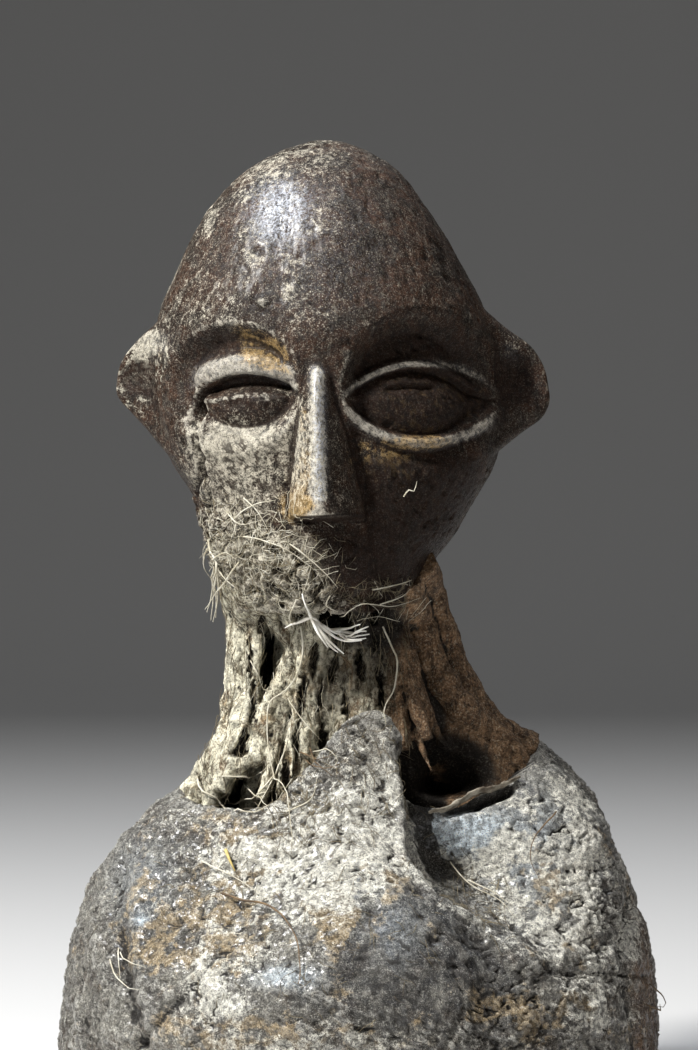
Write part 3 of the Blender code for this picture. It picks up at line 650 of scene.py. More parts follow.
def lidRelief(along, beside, outside, eye):
    pairs = zip(eye["lidUp"], eye["lidDown"])
    full, falls, gone, height = (np.where(beside < 0, up, down) for up, down in pairs)
    ends = 1 - ease(0.80, 1.16, np.abs(along) / eye["half"])
    beyond = ease(0, 1, (outside - falls) / (gone - falls))
    return height * ends * ease(-1, 0, (outside - full) / full) * (1 - beyond)


def lidMask(x, y):  # 1 on the crown of each lid
    made = 0
    for eye in eyes.values():
        dx, dy = x - eye["centre"][0], y - eye["centre"][1]
        made = np.maximum(made, lidRelief(dx, dy, almond(dx, dy, eye), eye) / eye["lidUp"][3])
    return np.clip(made, 0, 1)


def socketRelief(x, y, socket):
    (across, down), (halfWidth, halfHeight) = socket["centre"], socket["half"]
    reach = np.hypot((x - across) / halfWidth, (y - down) / halfHeight)
    fade = 1 - 0.68 * ease(down - 8, down + halfHeight, y)  # shallower towards the cheek
    return -socket["depth"] * (1 - ease(0.76, 1.07, reach)) * fade


def noseRelief(x, y):
    beside = x - track(nose["ridge"], y)
    half = np.where(beside < 0, track(nose["left"], y), track(nose["right"], y))
    ridge = np.clip(1.20 - np.hypot(beside / (0.86 * half), 0.20), 0, 1)  # worn round along the top
    span = ease(nose["top"] - 14, nose["top"] + 12, y) * (1 - ease(nose["tip"], nose["foot"], y))
    return track(nose["height"], y) * ridge * span


def faceRelief(x, y, wander):  # pixels of depth, carved as seen from the front
    relief = 4.0 * bell(x - 322, 34) * ease(150, 210, y) * (1 - ease(325, 372, y))
    for side in eyes:
        relief = relief + socketRelief(x, y, sockets[side]) + eyeRelief(x, y, eyes[side])
    relief = relief + noseRelief(x, y) + 13 * spot(x, y, (322, 574), (62, 36))
    for height, spread, line in head["creases"]:
        relief = relief + height * stroke(x, y, line, spread)
    relief = relief - 8 * stroke(x + 3 * wander, y, head["crack"], 3.0)
    relief = relief - 5 * stroke(x - 2 * wander, y, head["crackBranch"], 2.4)
    return relief + spots(x, y, head["knocks"])


def headForm(azimuth, drop):
    drop = np.clip(drop, 0, 1)
    across, forward = ringPoint(azimuth, domeTrack(head["width"], drop), domeTrack(head["front"], drop),
                                domeTrack(head["back"], drop), 0.93)
    across = across + track(head["lean"], drop) * ease(0, 0.05, drop)
    return head["height"] * np.stack([across, forward, 1 - drop + 0 * azimuth], -1) + np.array(head["base"])


def carveSkin(points, azimuth):  # pixels of relief, and where the jaw's crust is pitted
    x, y = pictureOf(points)
    relief = faceRelief(x, y, cloud(points, 0.0022, 3, 5)) * ease(0.02, 0.35, np.cos(azimuth))
    # fibre and earth are stuck over the lower left of the face
    away, side = lineDistance(x, y, head["jawEdge"])
    jaw = ease(0, 16, away * (side > 0)) * (1 - ease(0.25, 0.75, np.sin(azimuth)))
    jaw = jaw * ease(-0.25, 0.30, np.cos(azimuth))
    pitted = jaw * ease(0.0, 0.26, cloud(points, 0.0014, 4, 21))
    lumps = 4 + 6 * np.abs(cloud(points, 0.0017, 4, 9)) + 4 * cloud(points, 0.0048, 2, 29)
    relief = relief + jaw * lumps - 10 * pitted
    # tool marks, grain and scattered pits
    facets = np.minimum(cells(points, 0.0042, 3, (1, 1, 1.5)), 0.35)
    relief = relief + 1.6 * cloud(points, 0.0090, 2, 1) + 0.8 * facets * (1 - jaw)
    relief = relief + 0.55 * cloud(points, 0.0016, 4, 2) + 0.35 * cloud(points, 0.0007, 3, 4, (1, 1, 3.2))
    return relief - 1.6 * ease(0.32, 0.6, cloud(points, 0.0019, 2, 6)), pitted


def drawEars(rings, points, drop, azimuth):  # pulls the ears out of the sides and dishes them
    size, base = head["height"], np.array(head["base"])
    behindMiddle = points[..., 1] - base[1] + head["earMiddle"] * size
    thick = head["earThickness"] * (1 + 0.6 * ease(0.60, 0.70, drop)) * size
    depth = np.abs(behindMiddle) / thick
    across, up = head["earDish"]
    for sign, outline in head["ears"].items():
        wide = base[0] + sign * size * np.maximum(track(outline, drop), 0)
        pull = np.maximum(sign * (wide - rings[..., 0]), 0) * (1 - ease(0.35, 1.08, depth))
        pull = pull * ease(0.0, 0.3, sign * np.sin(azimuth))
        pull = pull * (sign * (points[..., 0] - base[0]) > 0.2 * size)
        pull = pull * ease(0.34, 0.385, drop) * (1 - ease(0.66, 0.70, drop))
        rings[..., 0] += sign * pull
        middle = (base[0] + sign * across * size, base[2] + up * size)
        dish = spot(rings[..., 0], rings[..., 2], middle, (0.045 * size, 0.060 * size))
        dish = dish * ease(0.1, 0.5, depth) * (behindMiddle < 0)
        rings[..., 1] += 0.030 * size * dish * (pull > 0.0003)


def makeHead():
    # stations are packed over the face, at the ears and round the tip of the nose
    azimuths = spacedBy(lambda turn: 1 + 0.75 * (np.cos(turn) > 0.25) + 0.55 * bell(np.abs(turn) - 1.57, 0.25)
                        - 0.45 * (np.cos(turn) < -0.35), -math.pi, math.pi, head["columns"], closed=True)
    dome = 0.36 * (np.arange(1, head["domeRows"]) / head["domeRows"]) ** 2
    face = spacedBy(lambda drop: 1 + 1.6 * bell(drop - 0.815, 0.018), 0.36, 1, head["faceRows"])
    azimuth, drop = np.meshgrid(azimuths, np.concatenate([dome, face]))
    points, normal = alongNormal(headForm, azimuth, drop)
    relief, pitted = carveSkin(points, azimuth)
    rings = points + normal * relief[..., None] * view["pixel"]
    drawEars(rings, points, drop, azimuth)
    size, base = head["height"], np.array(head["base"])
    crown, foot = base + np.array([-0.002 * size, 0, size]), base + np.array([0, 0, -0.0004])
    mesh = loft("carvedHead", rings, crown, foot)
    readShape(mesh)
    finishHead(mesh, np.append(pitted.ravel(), [0, 0]))
    return placed("carvedHead", mesh, darkWood)


def finishHead(mesh, pitted):  # where the wood is worn, glossy, earthy, dusty and grimy, with painted shade, painted light and painted highlights
    points, normals = pointsOf(mesh), pointsOf(mesh, "normal")
    x, y = pictureOf(points)
    front = ease(0.0, 0.01, head["base"][1] - points[:, 1])
    # the far right of the face is in shade: painted shade there takes off wear and dust and darkens the
    # lenses
    farSide = ease(325, 380, x) * front
    behind = ease(-0.006, 0.010, points[:, 1])
    onEar = ease(0.36, 0.40, np.abs(points[:, 0] - head["base"][0]) / head["height"])
    patchy = 0.5 + 0.5 * cloud(points, 0.005, 4, 14)
    flecks = ease(-0.05, 0.30, cloud(points, 0.0009, 3, 71))
    lid = lidMask(x, y) * front
    offLid = (1 - lid) * front
    lens = sum(1 - ease(-6, 2, almond(x - eye["centre"][0], y - eye["centre"][1], eye))
               for eye in eyes.values())
    worn = readBack(mesh, "worn") * 0.75 * (1 - 0.8 * farSide) * (1 - 0.6 * behind) + 0.5 * lid
    keep(mesh, "worn", np.clip(worn * (1 - 0.5 * onEar), 0, 1))
    # painted shade in the sockets, under the left brow, under the nose's foot and on the far cheek, and the
    # nose's painted shadow; with them dark lenses, flecks and pits
    inSockets = np.maximum(spot(x, y, (424, 372), (84, 66), power=4),
                           0.8 * spot(x, y, (222, 345), (56, 30), 12, power=3))
    nostrils = [(298, 521), (330, 519), (350, 518), (376, 520)]
    noseSide = [(309, 392), (307, 440), (306, 496)]
    sooty = [readBack(mesh, "hollow"), 0.62 * inSockets * offLid,
             lens * (0.30 + 0.45 * np.maximum(flecks, farSide)) * offLid,
             0.62 * flecks * spot(x, y, (242, 470), (56, 48), power=4) * front,
             0.62 * ease(352, 372, x) * ease(425, 470, y) * front * (1 - ease(470, 505, x)),
             0.75 * spot(x, y, (348, 556), (52, 36), 20, power=3) * front,
             1.1 * stroke(x, y, nostrils, 5.0) * front,
             0.55 * stroke(x, y, noseSide, 4.5) * (0.4 + 0.6 * flecks) * front,
             0.9 * pitted]
    keep(mesh, "hollow", np.clip(np.max(sooty, axis=0), 0, 1))
    polish = spots(x, y, headMarks["polish"]) + stroke(x, y, head["noseRidge"], 6.5) + 0.22 * lid
    keep(mesh, "polish", np.clip(polish * front, 0, 1))
    flecked = spots(x, y, headMarks["fleckedEarth"]) + 0.55 * lens * farSide
    earth = spots(x, y, headMarks["earth"]) + flecks * flecked
    keep(mesh, "earth", np.clip(earth * front * (0.5 + patchy), 0, 1))
    # painted light: paler on the lit upper left, painted highlights on the nose ridge and the ears, and
    # painted shade taking dust off the right socket
    lit = 1 - ease(250, 430, x)
    dust = 0.24 * np.clip(normals[:, 2], 0, 1) + 0.12 * patchy
    dust += 0.34 * patchy * lit * (1 - ease(315, 365, y)) * (1 - 0.6 * behind)
    dust += spots(x, y, headMarks["dust"]) * front
    dust += 1.3 * flecks * spot(x, y, (138, 370), (24, 36)) * (1 - behind)
    dust += spots(x, y, headMarks["earDust"]) * ease(0.15, 0.55, -normals[:, 1])
    dust += 1.1 * stroke(x, y, [(318, 374), (318, 400), (320, 496)], 5.5) * front
    dust += 0.25 * stroke(x, y, [(336, 420), (342, 500)], 9) * front
    dust += 0.60 * ease(515, 560, y) * (1 - ease(310, 360, x)) * front
    dust -= 0.5 * spot(x, y, (424, 400), (80, 50), power=4) * offLid
    keep(mesh, "dust", np.clip(dust * (1 - 0.75 * farSide * (1 - lid)), 0, 1))


carvedHead = makeHead()
print("head carved:", len(carvedHead.data.vertices), "points")


# the sinewy neck

neck = {
    "height": 0.0360, "halfWidth": 0.0250, "halfDepth": 0.0162, "base": (0, 0, 0.0363),
    "voxel": 0.00030, "coreVoxel": 0.00050, "backCords": 84, "backSpan": (68, 292),
    # shares of the half width and half depth as (share of the way down, value)
    "width": [(0, 0.592), (0.18, 0.660), (0.39, 0.756), (0.56, 0.924), (0.65, 0.980), (1, 1.0)],
    "depth": [(0, 0.740), (0.25, 0.755), (0.52, 0.850), (0.75, 0.960), (1, 1.0)],
    "lean": [(0, -0.104), (0.18, -0.066), (0.39, 0.012), (0.56, 0.072), (0.65, 0.090), (1, 0.020)],
    "core": 0.33,  # how far the core lies below the cords, as a share of the half depth
    # painted shade below the chin and down the throat
    "soot": [(0.62, (352, 618), (46, 26), 12, 3), (0.52, (335, 685), (48, 60), 0, 3),
             (0.45, (392, 640), (26, 60), 0, 3)],
    # cords seen from the front: (radius in mm, how far it stands out in mm, line)
    "cords": [
        (2.3, 0.2, [(236, 585), (240, 640), (238, 690), (229, 735), (206, 775), (186, 806)]),
        (1.9, 0.3, [(247, 585), (247, 650), (246, 700), (238, 745), (220, 790)]),
        (1.3, 0.2, [(258, 590), (256, 640), (252, 700), (248, 742), (236, 776)]),
        (1.2, 1.3, [(312, 612), (300, 640), (285, 668), (270, 700), (262, 732), (256, 762)]),
        (0.9, 1.0, [(322, 625), (306, 660), (290, 692), (278, 728), (272, 765), (262, 800)]),
        (1.0, 0.6, [(268, 590), (274, 620), (290, 646), (300, 664)]),
        (0.8, 0.8, [(285, 600), (292, 632), (300, 650)]),
        (2.1, 0.5, [(322, 630), (320, 680), (313, 735), (303, 785), (298, 830)]),
        (1.5, 0.9, [(336, 650), (330, 700), (322, 745), (312, 780), (318, 830)]),
        (1.1, 0.8, [(308, 640), (300, 700), (292, 745), (284, 790), (292, 830)]),
        (1.7, 1.3, [(302, 728), (308, 742), (312, 752)]),
        (0.9, 1.3, [(262, 612), (282, 634), (300, 640), (318, 634)]),
        (0.6, 1.0, [(330, 668), (318, 690), (322, 716)]),
        (0.8, 0.9, [(352, 690), (360, 668), (374, 655)]),
        (1.6, 0.3, [(346, 640), (347, 690), (346, 730)]),
        (1.5, 0.4, [(372, 625), (370, 665), (364, 705), (362, 740)]),
        (1.2, 0.6, [(358, 600), (366, 640), (378, 680), (386, 720)]),
        (1.5, 0.2, [(386, 610), (393, 660), (400, 705), (402, 750)]),
        (1.1, 0.0, [(390, 620), (404, 665), (416, 705), (428, 740)]),
        (3.3, -0.1, [(418, 562), (431, 612), (447, 660), (471, 706), (500, 736), (526, 752)]),
        (2.9, -0.4, [(404, 580), (418, 630), (437, 675), (462, 710), (494, 742), (516, 766)]),
        (1.6, -1.3, [(394, 590), (404, 640), (416, 690), (434, 728), (452, 754)]),
        (1.2, -1.8, [(384, 610), (394, 660), (404, 700), (420, 740), (432, 772)]),
        (0.8, -1.5, [(418, 640), (450, 700), (486, 734), (514, 758)]),
        (1.4, 0.2, [(233, 560), (240, 585), (246, 610)]),
        (1.2, 0.2, [(222, 535), (232, 562), (238, 592), (240, 620)]),
        (0.7, 0.5, [(236, 700), (250, 726), (262, 742)]),
        (0.6, 0.6, [(258, 690), (248, 716), (238, 742)]),
        (1.0, 0.9, [(214, 770), (236, 766), (262, 758), (276, 744)]),
        (0.8, 0.5, [(330, 700), (340, 722), (344, 745)]),
        (0.7, 0.7, [(292, 700), (302, 724), (318, 740)]),
        (1.3, -3.6, [(440, 740), (466, 752), (484, 768)]),
    ],
    "seed": 11,
}
# gaps between the cords and openings down to the core: (centre, radii, tilt, depth in mm)
gaps = [((270, 655), (4.5, 32), 4, 2.0), ((303, 694), (4.5, 26), 6, 2.0), ((296, 740), (3.5, 22), 5, 1.6),
        ((323, 741), (5, 13), 0, 2.0), ((277, 594), (8, 12), -20, 2.5), ((347, 634), (7, 10), 0, 1.8),
        ((360, 665), (5, 18), 0, 1.8), ((333, 668), (3.5, 17), 8, 1.6), ((285, 782), (4, 24), 5, 1.6),
        ((253, 700), (3, 24), 3, 1.4), ((240, 746), (6, 14), 24, 1.8), ((381, 692), (3.5, 24), -6, 1.6),
        ((320, 702), (2.5, 28), 2, 1.4), ((314, 655), (3.5, 15), 10, 1.6), ((346, 706), (3, 18), -4, 1.4),
        ((262, 620), (3.5, 13), 8, 1.4), ((296, 611), (5, 8), 0, 1.8), ((374, 640), (4, 12), -4, 1.4),
        ((250, 655), (2.5, 26), 0, 1.2), ((308, 790), (3, 26), 4, 1.2)]
pockets = [((466, 762), (44, 26), 38, 6.5), ((452, 780), (30, 18), 0, 5.0), ((252, 790), (24, 14), 0, 4.5)]
openings = pockets + [((272, 650), (8, 34), 4, 3.5), ((277, 594), (10, 14), -20, 3.5),
                      ((303, 700), (9, 30), 6, 3.5), ((323, 742), (8, 14), 0, 2.5),
                      ((352, 655), (12, 26), 0, 3.0), ((240, 740), (10, 16), 0, 2.5)]


def neckForm(azimuth, share):
    halfWidth = neck["halfWidth"] * track(neck["width"], share)
    halfDepth = neck["halfDepth"] * track(neck["depth"], share)
    across, forward = ringPoint(azimuth, halfWidth, halfDepth, halfDepth, 0.95)
    across = across + neck["halfWidth"] * track(neck["lean"], share)
    rise = neck["height"] * (1 - share) + 0 * azimuth
    return np.stack([across, forward, rise], -1) + np.array(neck["base"])


def neckCore():
    azimuth, share = np.meshgrid(np.linspace(-math.pi, math.pi, 160, endpoint=False), np.linspace(0, 1, 70))
    points, normal = alongNormal(neckForm, azimuth, share)
    x, y = pictureOf(points)
    right = ease(0.15, 0.6, np.sin(azimuth)) * ease(-0.3, 0.3, np.cos(azimuth))
    sunk = neck["core"] * neck["halfDepth"] * (1 - 0.6 * right)
    for *place, depth in openings:
        sunk = sunk + 0.001 * depth * spot(x, y, *place, power=4) * ease(0.1, 0.5, np.cos(azimuth))
    core = points - normal * sunk[..., None]
    rows, columns = azimuth.shape
    grid = np.arange(rows * columns).reshape(rows, columns)
    over, under = grid[:-1], grid[1:]
    quads = np.stack([over, np.roll(over, -1, 1), np.roll(under, -1, 1), under], -1).reshape(-1, 4)
    ends = [grid[0].tolist()[::-1], grid[-1].tolist()]
    return meshFrom("neckCore", core.reshape(-1, 3), quads.tolist() + ends)


def layFrontCords(chance):  # the cords that show, each with finer strands wound beside it
    points, faces = [], []
    under = [treeOf(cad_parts[name].data) for name in ("raffia_neck", "carved_head")]
    for radius, lift, line in neck["cords"]:
        for strand in range(1 if lift < 0 else 4 if radius > 1.4 else 3 if radius > 1.0 else 2):
            path = []
            swing = chance.uniform(-0.7, 0.7) * radius / 0.15 if strand else 0
            for across, down in smoothLine(line, 7):
                wobble = noise.noise(Vector((across * 0.03 + strand * 9, down * 0.035, radius * 5)))
                hit, ray = onto(under, across + swing + wobble * 3, down)
                sunk = radius * (0.25 + 0.7 * (abs(swing) * 0.15 / radius) ** 2) if strand else radius
                path.append(hit + ray * (0.001 * (sunk - lift + 0.35 * wobble)))
            size = 0.001 * radius * (0.92 if strand == 0 else chance.uniform(0.26, 0.5))
            fade = 0.85 if lift <= -1.0 else 0.0  # cords that run into the hollow thin out at their ends
            radii = [size * (1 + 0.28 * noise.noise(Vector((n * 0.35, radius * 7, strand * 5))))
                     * (1 - fade * float(ease(0.62, 1.0, n / (len(path) - 1)))) for n in range(len(path))]
            tube(smoothPath(path), radii, 12, points, faces)
    return meshFrom("neckCords", points, faces)


def layBackCords(chance):  # the sides and the back are bound more plainly
    points, faces = [], []
    first, last = neck["backSpan"]
    for cord in range(neck["backCords"]):
        share = (cord + chance.uniform(-0.3, 0.3)) / neck["backCords"]
        start = math.radians(first + (last - first) * share)
        turn = chance.uniform(-0.14, 0.14)
        rise = chance.uniform(0.6, 1.5)
        wave, path = chance.uniform(0, 9), []
        for step in np.linspace(-0.03, 1.02, 26):
            angle = start + turn * step + 0.05 * noise.noise(Vector((step * 4, wave, 0)))
            here, outward = alongNormal(neckForm, np.array(angle), np.array(np.clip(step, 0, 1)))
            here = here + np.array([0, 0, (min(step, 0) + max(step - 1, 0)) * -neck["height"]])
            sunk = rise * 0.9 - 0.9 * abs(noise.noise(Vector((wave, step * 2.5, 3))))
            path.append(here - outward * 0.001 * (sunk + 2.4 * math.exp(-(step / 0.09) ** 2)))
        radii = [0.001 * rise * (0.85 + 0.4 * noise.noise(Vector((n * 0.3, wave, 5))))
                 for n in range(len(path))]
        tube(path, radii, 10, points, faces)
    return meshFrom("neckBack", points, faces)


def makeNeck():
    chance = random.Random(neck["seed"])
    cords = placed("neckCords", layFrontCords(chance), earthyRaffia)
    body = [placed("boundNeck", neckCore(), earthyRaffia),
            placed("neckBack", layBackCords(chance), earthyRaffia)]
    with bpy.context.temp_override(active_object=body[0], object=body[0], selected_objects=body,
                                   selected_editable_objects=body):
        bpy.ops.object.join()
    return finishNeck(body[0], "boundNeck", neck["coreVoxel"]), finishNeck(cords, "neckCords", neck["voxel"])


def raggedPicture(points):  # the view again, with its spots torn at the edges
    x, y = pictureOf(points)
    return x + 3.2 * cloud(points, 0.0013, 3, 51), y + 9 * cloud(points, 0.0020, 3, 52)


def finishNeck(piece, name, voxel):  # melts the cords of one body together and frays them
    remesh = piece.modifiers.new("melt together", "REMESH")
    remesh.mode, remesh.voxel_size = "VOXEL", voxel
    mesh = evaluated(piece)
    mesh.name = name
    points = softened(mesh, pointsOf(mesh), 1)
    if name == "neckCords":
        x, y = raggedPicture(points)
        for *place, depth in gaps:
            points[:, 1] += 0.001 * depth * spot(x, y, *place, power=4)
    movePoints(mesh, points)
    normals = pointsOf(mesh, "normal")
    fray = 0.14 * cloud(points, 0.0010, 4, 3, (1, 1, 4.0)) + 0.16 * cloud(points, 0.0009, 4, 8)
    fray = fray + 0.22 * cloud(points, 0.0024, 3, 12)
    # the brown side is smoother
    calm = ease(385, 425, pictureOf(points)[0]) * ease(-0.004, 0.004, -points[:, 1])
    movePoints(mesh, points + normals * (0.001 * fray * (1 - 0.45 * calm))[:, None])
    markNeck(mesh, ease(0.0, 0.006, -points[:, 1]))
    return placed(name, mesh, earthyRaffia)


def markNeck(mesh, front):  # where the neck is brown, earthy, dusty and worn, with painted light on its left and painted shade in its hollows, gaps and openings and below the chin
    out, wide = readShape(mesh, 3, 60, 0.00007, 0.0006)
    points = pointsOf(mesh)
    x, y = pictureOf(points)
    raggedX, raggedY = raggedPicture(points)
    brown = ease(366, 400, x + 10 * cloud(points, 0.004, 2, 2)) * front
    brown = brown + 0.65 * ease(-0.002, 0.010, points[:, 1]) + ease(0.006, 0.014, points[:, 0])
    brown = np.clip(brown, 0, 1)
    keep(mesh, "brown", brown)
    keep(mesh, "earth", np.clip(0.3 + 0.5 * cloud(points, 0.004, 3, 31), 0, 1) * (1 - brown))
    # dust, and painted light: paler towards the lit left of the neck
    dust = 0.42 + 0.5 * cloud(points, 0.003, 3, 17) + 0.2 * (1 - ease(235, 300, x))
    keep(mesh, "dust", np.clip(dust, 0, 1) * (1 - 0.85 * brown))
    # painted shade in the hollows, below the chin, in the pockets and in the gaps between the cords
    dark = [np.clip(-0.35 * out - 0.95 * wide, 0, 1), spots(x, y, neck["soot"]) * front,
            0.72 * spot(x, y, (464, 762), (50, 30), 36, power=4) * front]
    for centre, (halfWidth, halfHeight), tilt, _ in pockets:
        inside = spot(x, y, centre, (halfWidth * 0.85, halfHeight * 0.85), tilt, power=3)
        dark.append(0.9 * inside * (wide < 0.45) * front)
    for *place, _ in gaps:
        dark.append(0.95 * spot(raggedX, raggedY, *place, power=3) * front)
    if mesh.name == "boundNeck":  # what shows of the core between the front cords gets painted shade
        dark.append(0.95 * (1 - ease(0.010, 0.016, points[:, 0])) * ease(0.002, 0.007, -points[:, 1]))
    keep(mesh, "hollow", np.clip(np.max(dark, axis=0), 0, 1))
    keep(mesh, "worn", readBack(mesh, "worn") * (1 - 0.8 * brown))


def smoothPath(path):
    path = np.array([tuple(point) for point in path])
    for _ in range(3):
        path[1:-1] = 0.5 * path[1:-1] + 0.25 * (path[:-2] + path[2:])
    return path


boundNeck, neckCords = makeNeck()
print("neck bound:", len(boundNeck.data.polygons), "and", len(neckCords.data.polygons), "faces")


# the crusted charge round the shoulders

charge = {
    "halfWidth": 0.0445, "frontDepth": 0.0375, "backDepth": 0.0360, "shoulder": 0.0520,
    "rows": 232, "columns": 404,
    # shares of the half width and the depths as (height, value), and of the shoulder's height as
    # (turn in degrees, value)
    "collar": (0.0267, 0.01985, 0.0187),
    "side": [(0, 0.965), (0.14, 1.0), (0.30, 0.975), (0.44, 0.915), (0.58, 0.790), (0.71, 0.645),
             (0.85, 0.440), (0.93, 0.250), (1, 0)],
    "front": [(0, 0.890), (0.14, 0.965), (0.28, 1.0), (0.46, 0.830), (0.62, 0.490), (0.78, 0.215),
              (0.90, 0.075), (1, 0)],
    "back": [(0, 0.930), (0.20, 1.0), (0.45, 0.935), (0.65, 0.695), (0.82, 0.350), (1, 0)],
    "rim": [(-180, 0.950), (-135, 0.915), (-90, 0.855), (-52, 0.825), (-28, 0.850), (-14, 0.960),
            (-4, 1.075), (8, 1.090), (14, 1.000), (20, 0.870), (31, 0.846), (41, 0.872), (54, 0.898),
            (70, 0.935), (90, 1.0), (135, 0.990), (180, 0.950)],
    "bulges": [(3.0, (350, 990), (150, 92)), (2.2, (158, 890), (76, 92)), (2.2, (580, 852), (62, 82))],
    # folds and creases: (height in mm, spread in pixels, line)
    "creases": [(-1.1, 10, [(130, 868), (125, 960), (142, 1045)]),
                (0.6, 9, [(148, 880), (143, 960), (160, 1040)]),
                (-0.4, 3.5, [(528, 968), (556, 976), (590, 972), (645, 976)]),
                (0.3, 8, [(528, 958), (585, 962), (640, 960)]),
                (-1.2, 7, [(628, 888), (621, 960), (640, 1060)]),
                (-1.0, 4, [(196, 786), (176, 806), (150, 820)]),
                (-2.8, 6, [(450, 810), (480, 803), (508, 792)])],  # the slit under the strip of hide
    "fold": [(140, 1044), (172, 1010), (204, 982), (224, 960)],
    "slit": [(450, 809), (480, 802), (508, 790)],
    "mud": [(1, (590, 915), (48, 46), 0, 3), (1, (520, 1030), (70, 34), 0, 3),
            (1, (400, 1040), (90, 30), 0, 3)],
}
# the finish of the charge, as spots of the view: (amount, centre, radii, tilt, power); the blue ones paint
# highlights
chargeMarks = {
    "pale": [(0.62, (320, 850), (90, 56), -18, 3), (0.28, (365, 800), (34, 62), 0, 3),
             (0.55, (470, 850), (60, 44), 30), (0.56, (566, 865), (60, 80)),
             (0.45, (225, 985), (40, 36), -40), (0.3, (600, 930), (34, 40)),
             (0.35, (560, 945), (50, 22)), (0.4, (330, 1050), (120, 24)),
             (0.35, (600, 1010), (36, 30)), (0.25, (250, 880), (60, 60))],
    "earth": [(0.7, (200, 930), (60, 60)), (0.5, (238, 852), (44, 30)), (0.65, (560, 880), (50, 50)),
              (0.6, (350, 910), (60, 40)), (0.6, (215, 1030), (50, 26)), (0.5, (548, 1010), (70, 30)),
              (0.35, (360, 830), (40, 40)), (1.6, (470, 1017), (7, 5)), (1.5, (583, 967), (6, 5)),
              (0.5, (300, 860), (60, 50)), (0.4, (330, 1030), (70, 24))],
    "inky": [(1.2, (440, 970), (112, 66), 0, 3), (0.9, (395, 925), (60, 34), 0, 3),
             (1.0, (150, 900), (30, 60)), (0.7, (300, 1000), (60, 36)), (0.6, (110, 960), (40, 80)),
             (0.45, (486, 880), (40, 18), 36),
             (0.4, (180, 840), (40, 20))],
    "blue": [(0.45, (530, 845), (60, 60)), (0.9, (352, 878), (8, 18)), (0.9, (285, 977), (28, 10)),
             (0.8, (141, 920), (7, 5)), (0.6, (374, 866), (10, 8)), (0.2, (140, 880), (30, 40)),
             (0.2, (395, 930), (30, 30))],
}
crest = [(388, 728), (396, 760), (408, 812), (412, 850), (436, 900), (478, 930), (528, 964)]


def chargeForm(azimuth, share):
    up = np.clip(1 - share, 0, 1)
    full = (charge["halfWidth"], charge["frontDepth"], charge["backDepth"])
    reach = [collar + (outer - collar) * track(charge[name], up)
             for name, outer, collar in zip(("side", "front", "back"), full, charge["collar"])]
    across, forward = ringPoint(azimuth, *reach, 0.95)
    turn = (np.degrees(azimuth) + 180) % 360 - 180
    return np.stack([across, forward, charge["shoulder"] * track(charge["rim"], turn) * up], -1)


def crustRelief(x, y, share):  # millimetres, as seen from the front
    valley = 5.0 * spot(x, y, (464, 862), (84, 40), 38) * ease(0.0, 0.16, share)
    relief = spots(x, y, charge["bulges"]) - valley
    away, side = lineDistance(x, y, crest)
    shore = np.where(side < 0, away, -away)  # + on the valley side of the crest
    relief += 1.9 * bell(shore + 3, 11) * ease(720, 800, y)
    # the gully beside the tongue
    relief -= 4.2 * bell(shore - 13, 10) * ease(735, 770, y) * (1 - ease(885, 925, y))
    fold, foldSide = lineDistance(x, y, charge["fold"])
    relief -= 0.5 * bell(fold, 4) + 0.35 * np.where(foldSide > 0, bell(fold, 22), 0)
    for height, spread, line in charge["creases"]:
        relief += height * stroke(x, y, line, spread)
    return relief


def smoothFloor(x, y):  # the smooth blue-grey floor of the hollow
    return spot(x, y, (458, 832), (44, 24), -6, power=4)


def crustSkin(points, azimuth, share):  # millimetres of relief all round
    x, y = pictureOf(points)
    facing = ease(0.0, 0.30, np.cos(azimuth))
    relief = crustRelief(x, y, share) * facing
    relief += 1.1 * bell(np.degrees(azimuth) + 82, 26) * bell(share - 0.36, 0.20)  # the left shoulder is full
    # the back bulges, parted by a wandering seam
    u, v = points[..., 0] / charge["halfWidth"], points[..., 2] / charge["shoulder"]
    seam = stroke(u + 0.05 * cloud(points, 0.012, 2, 44), v, [(0.02, 0.9), (-0.06, 0.6), (0.05, 0.1)], 0.09)
    relief += (2.0 * spot(u, v, (0, 0.55), (0.55, 0.30)) - 1.1 * seam) * ease(0.0, 0.35, -np.cos(azimuth))
    # lumps, flakes with torn edges, cracks and pits
    smoothSide = ease(622, 640, x) * facing
    velvet = spot(x, y, (462, 858), (72, 34), 36, power=4) * facing
    rough = 1 - 0.6 * smoothSide - 0.45 * velvet
    relief += rough * (0.62 * cloud(points, 0.0095, 3, 1) + 0.17 * cloud(points, 0.0030, 3, 2)
                       + 0.13 * cloud(points, 0.0009, 4, 3))
    relief += 0.45 * cloud(points, 0.0013, 3, 47) * stroke(x, y, crest, 10) * facing
    flakes = cloud(points, 0.0046, 4, 7, rough=0.6)
    steps = ((0.02, 0.09), (-0.30, -0.23), (0.36, 0.42))
    relief += rough * 0.17 * sum(ease(low, high, flakes) for low, high in steps)
    bent = points + 0.0006 * np.stack([cloud(points, 0.002, 2, seed) for seed in (31, 32, 33)], -1)
    cracked = ease(-0.05, 0.30, cloud(points, 0.011, 2, 15))
    relief -= rough * cracked * 0.60 * bell(cells(bent, 0.0046, 5), 0.032)
    mud = np.clip(spots(x, y, charge["mud"]), 0, 1) * facing
    relief -= mud * 0.50 * bell(cells(points, 0.0021, 8), 0.07)
    return relief - rough * 0.26 * ease(0.40, 0.62, cloud(points, 0.0017, 3, 19))


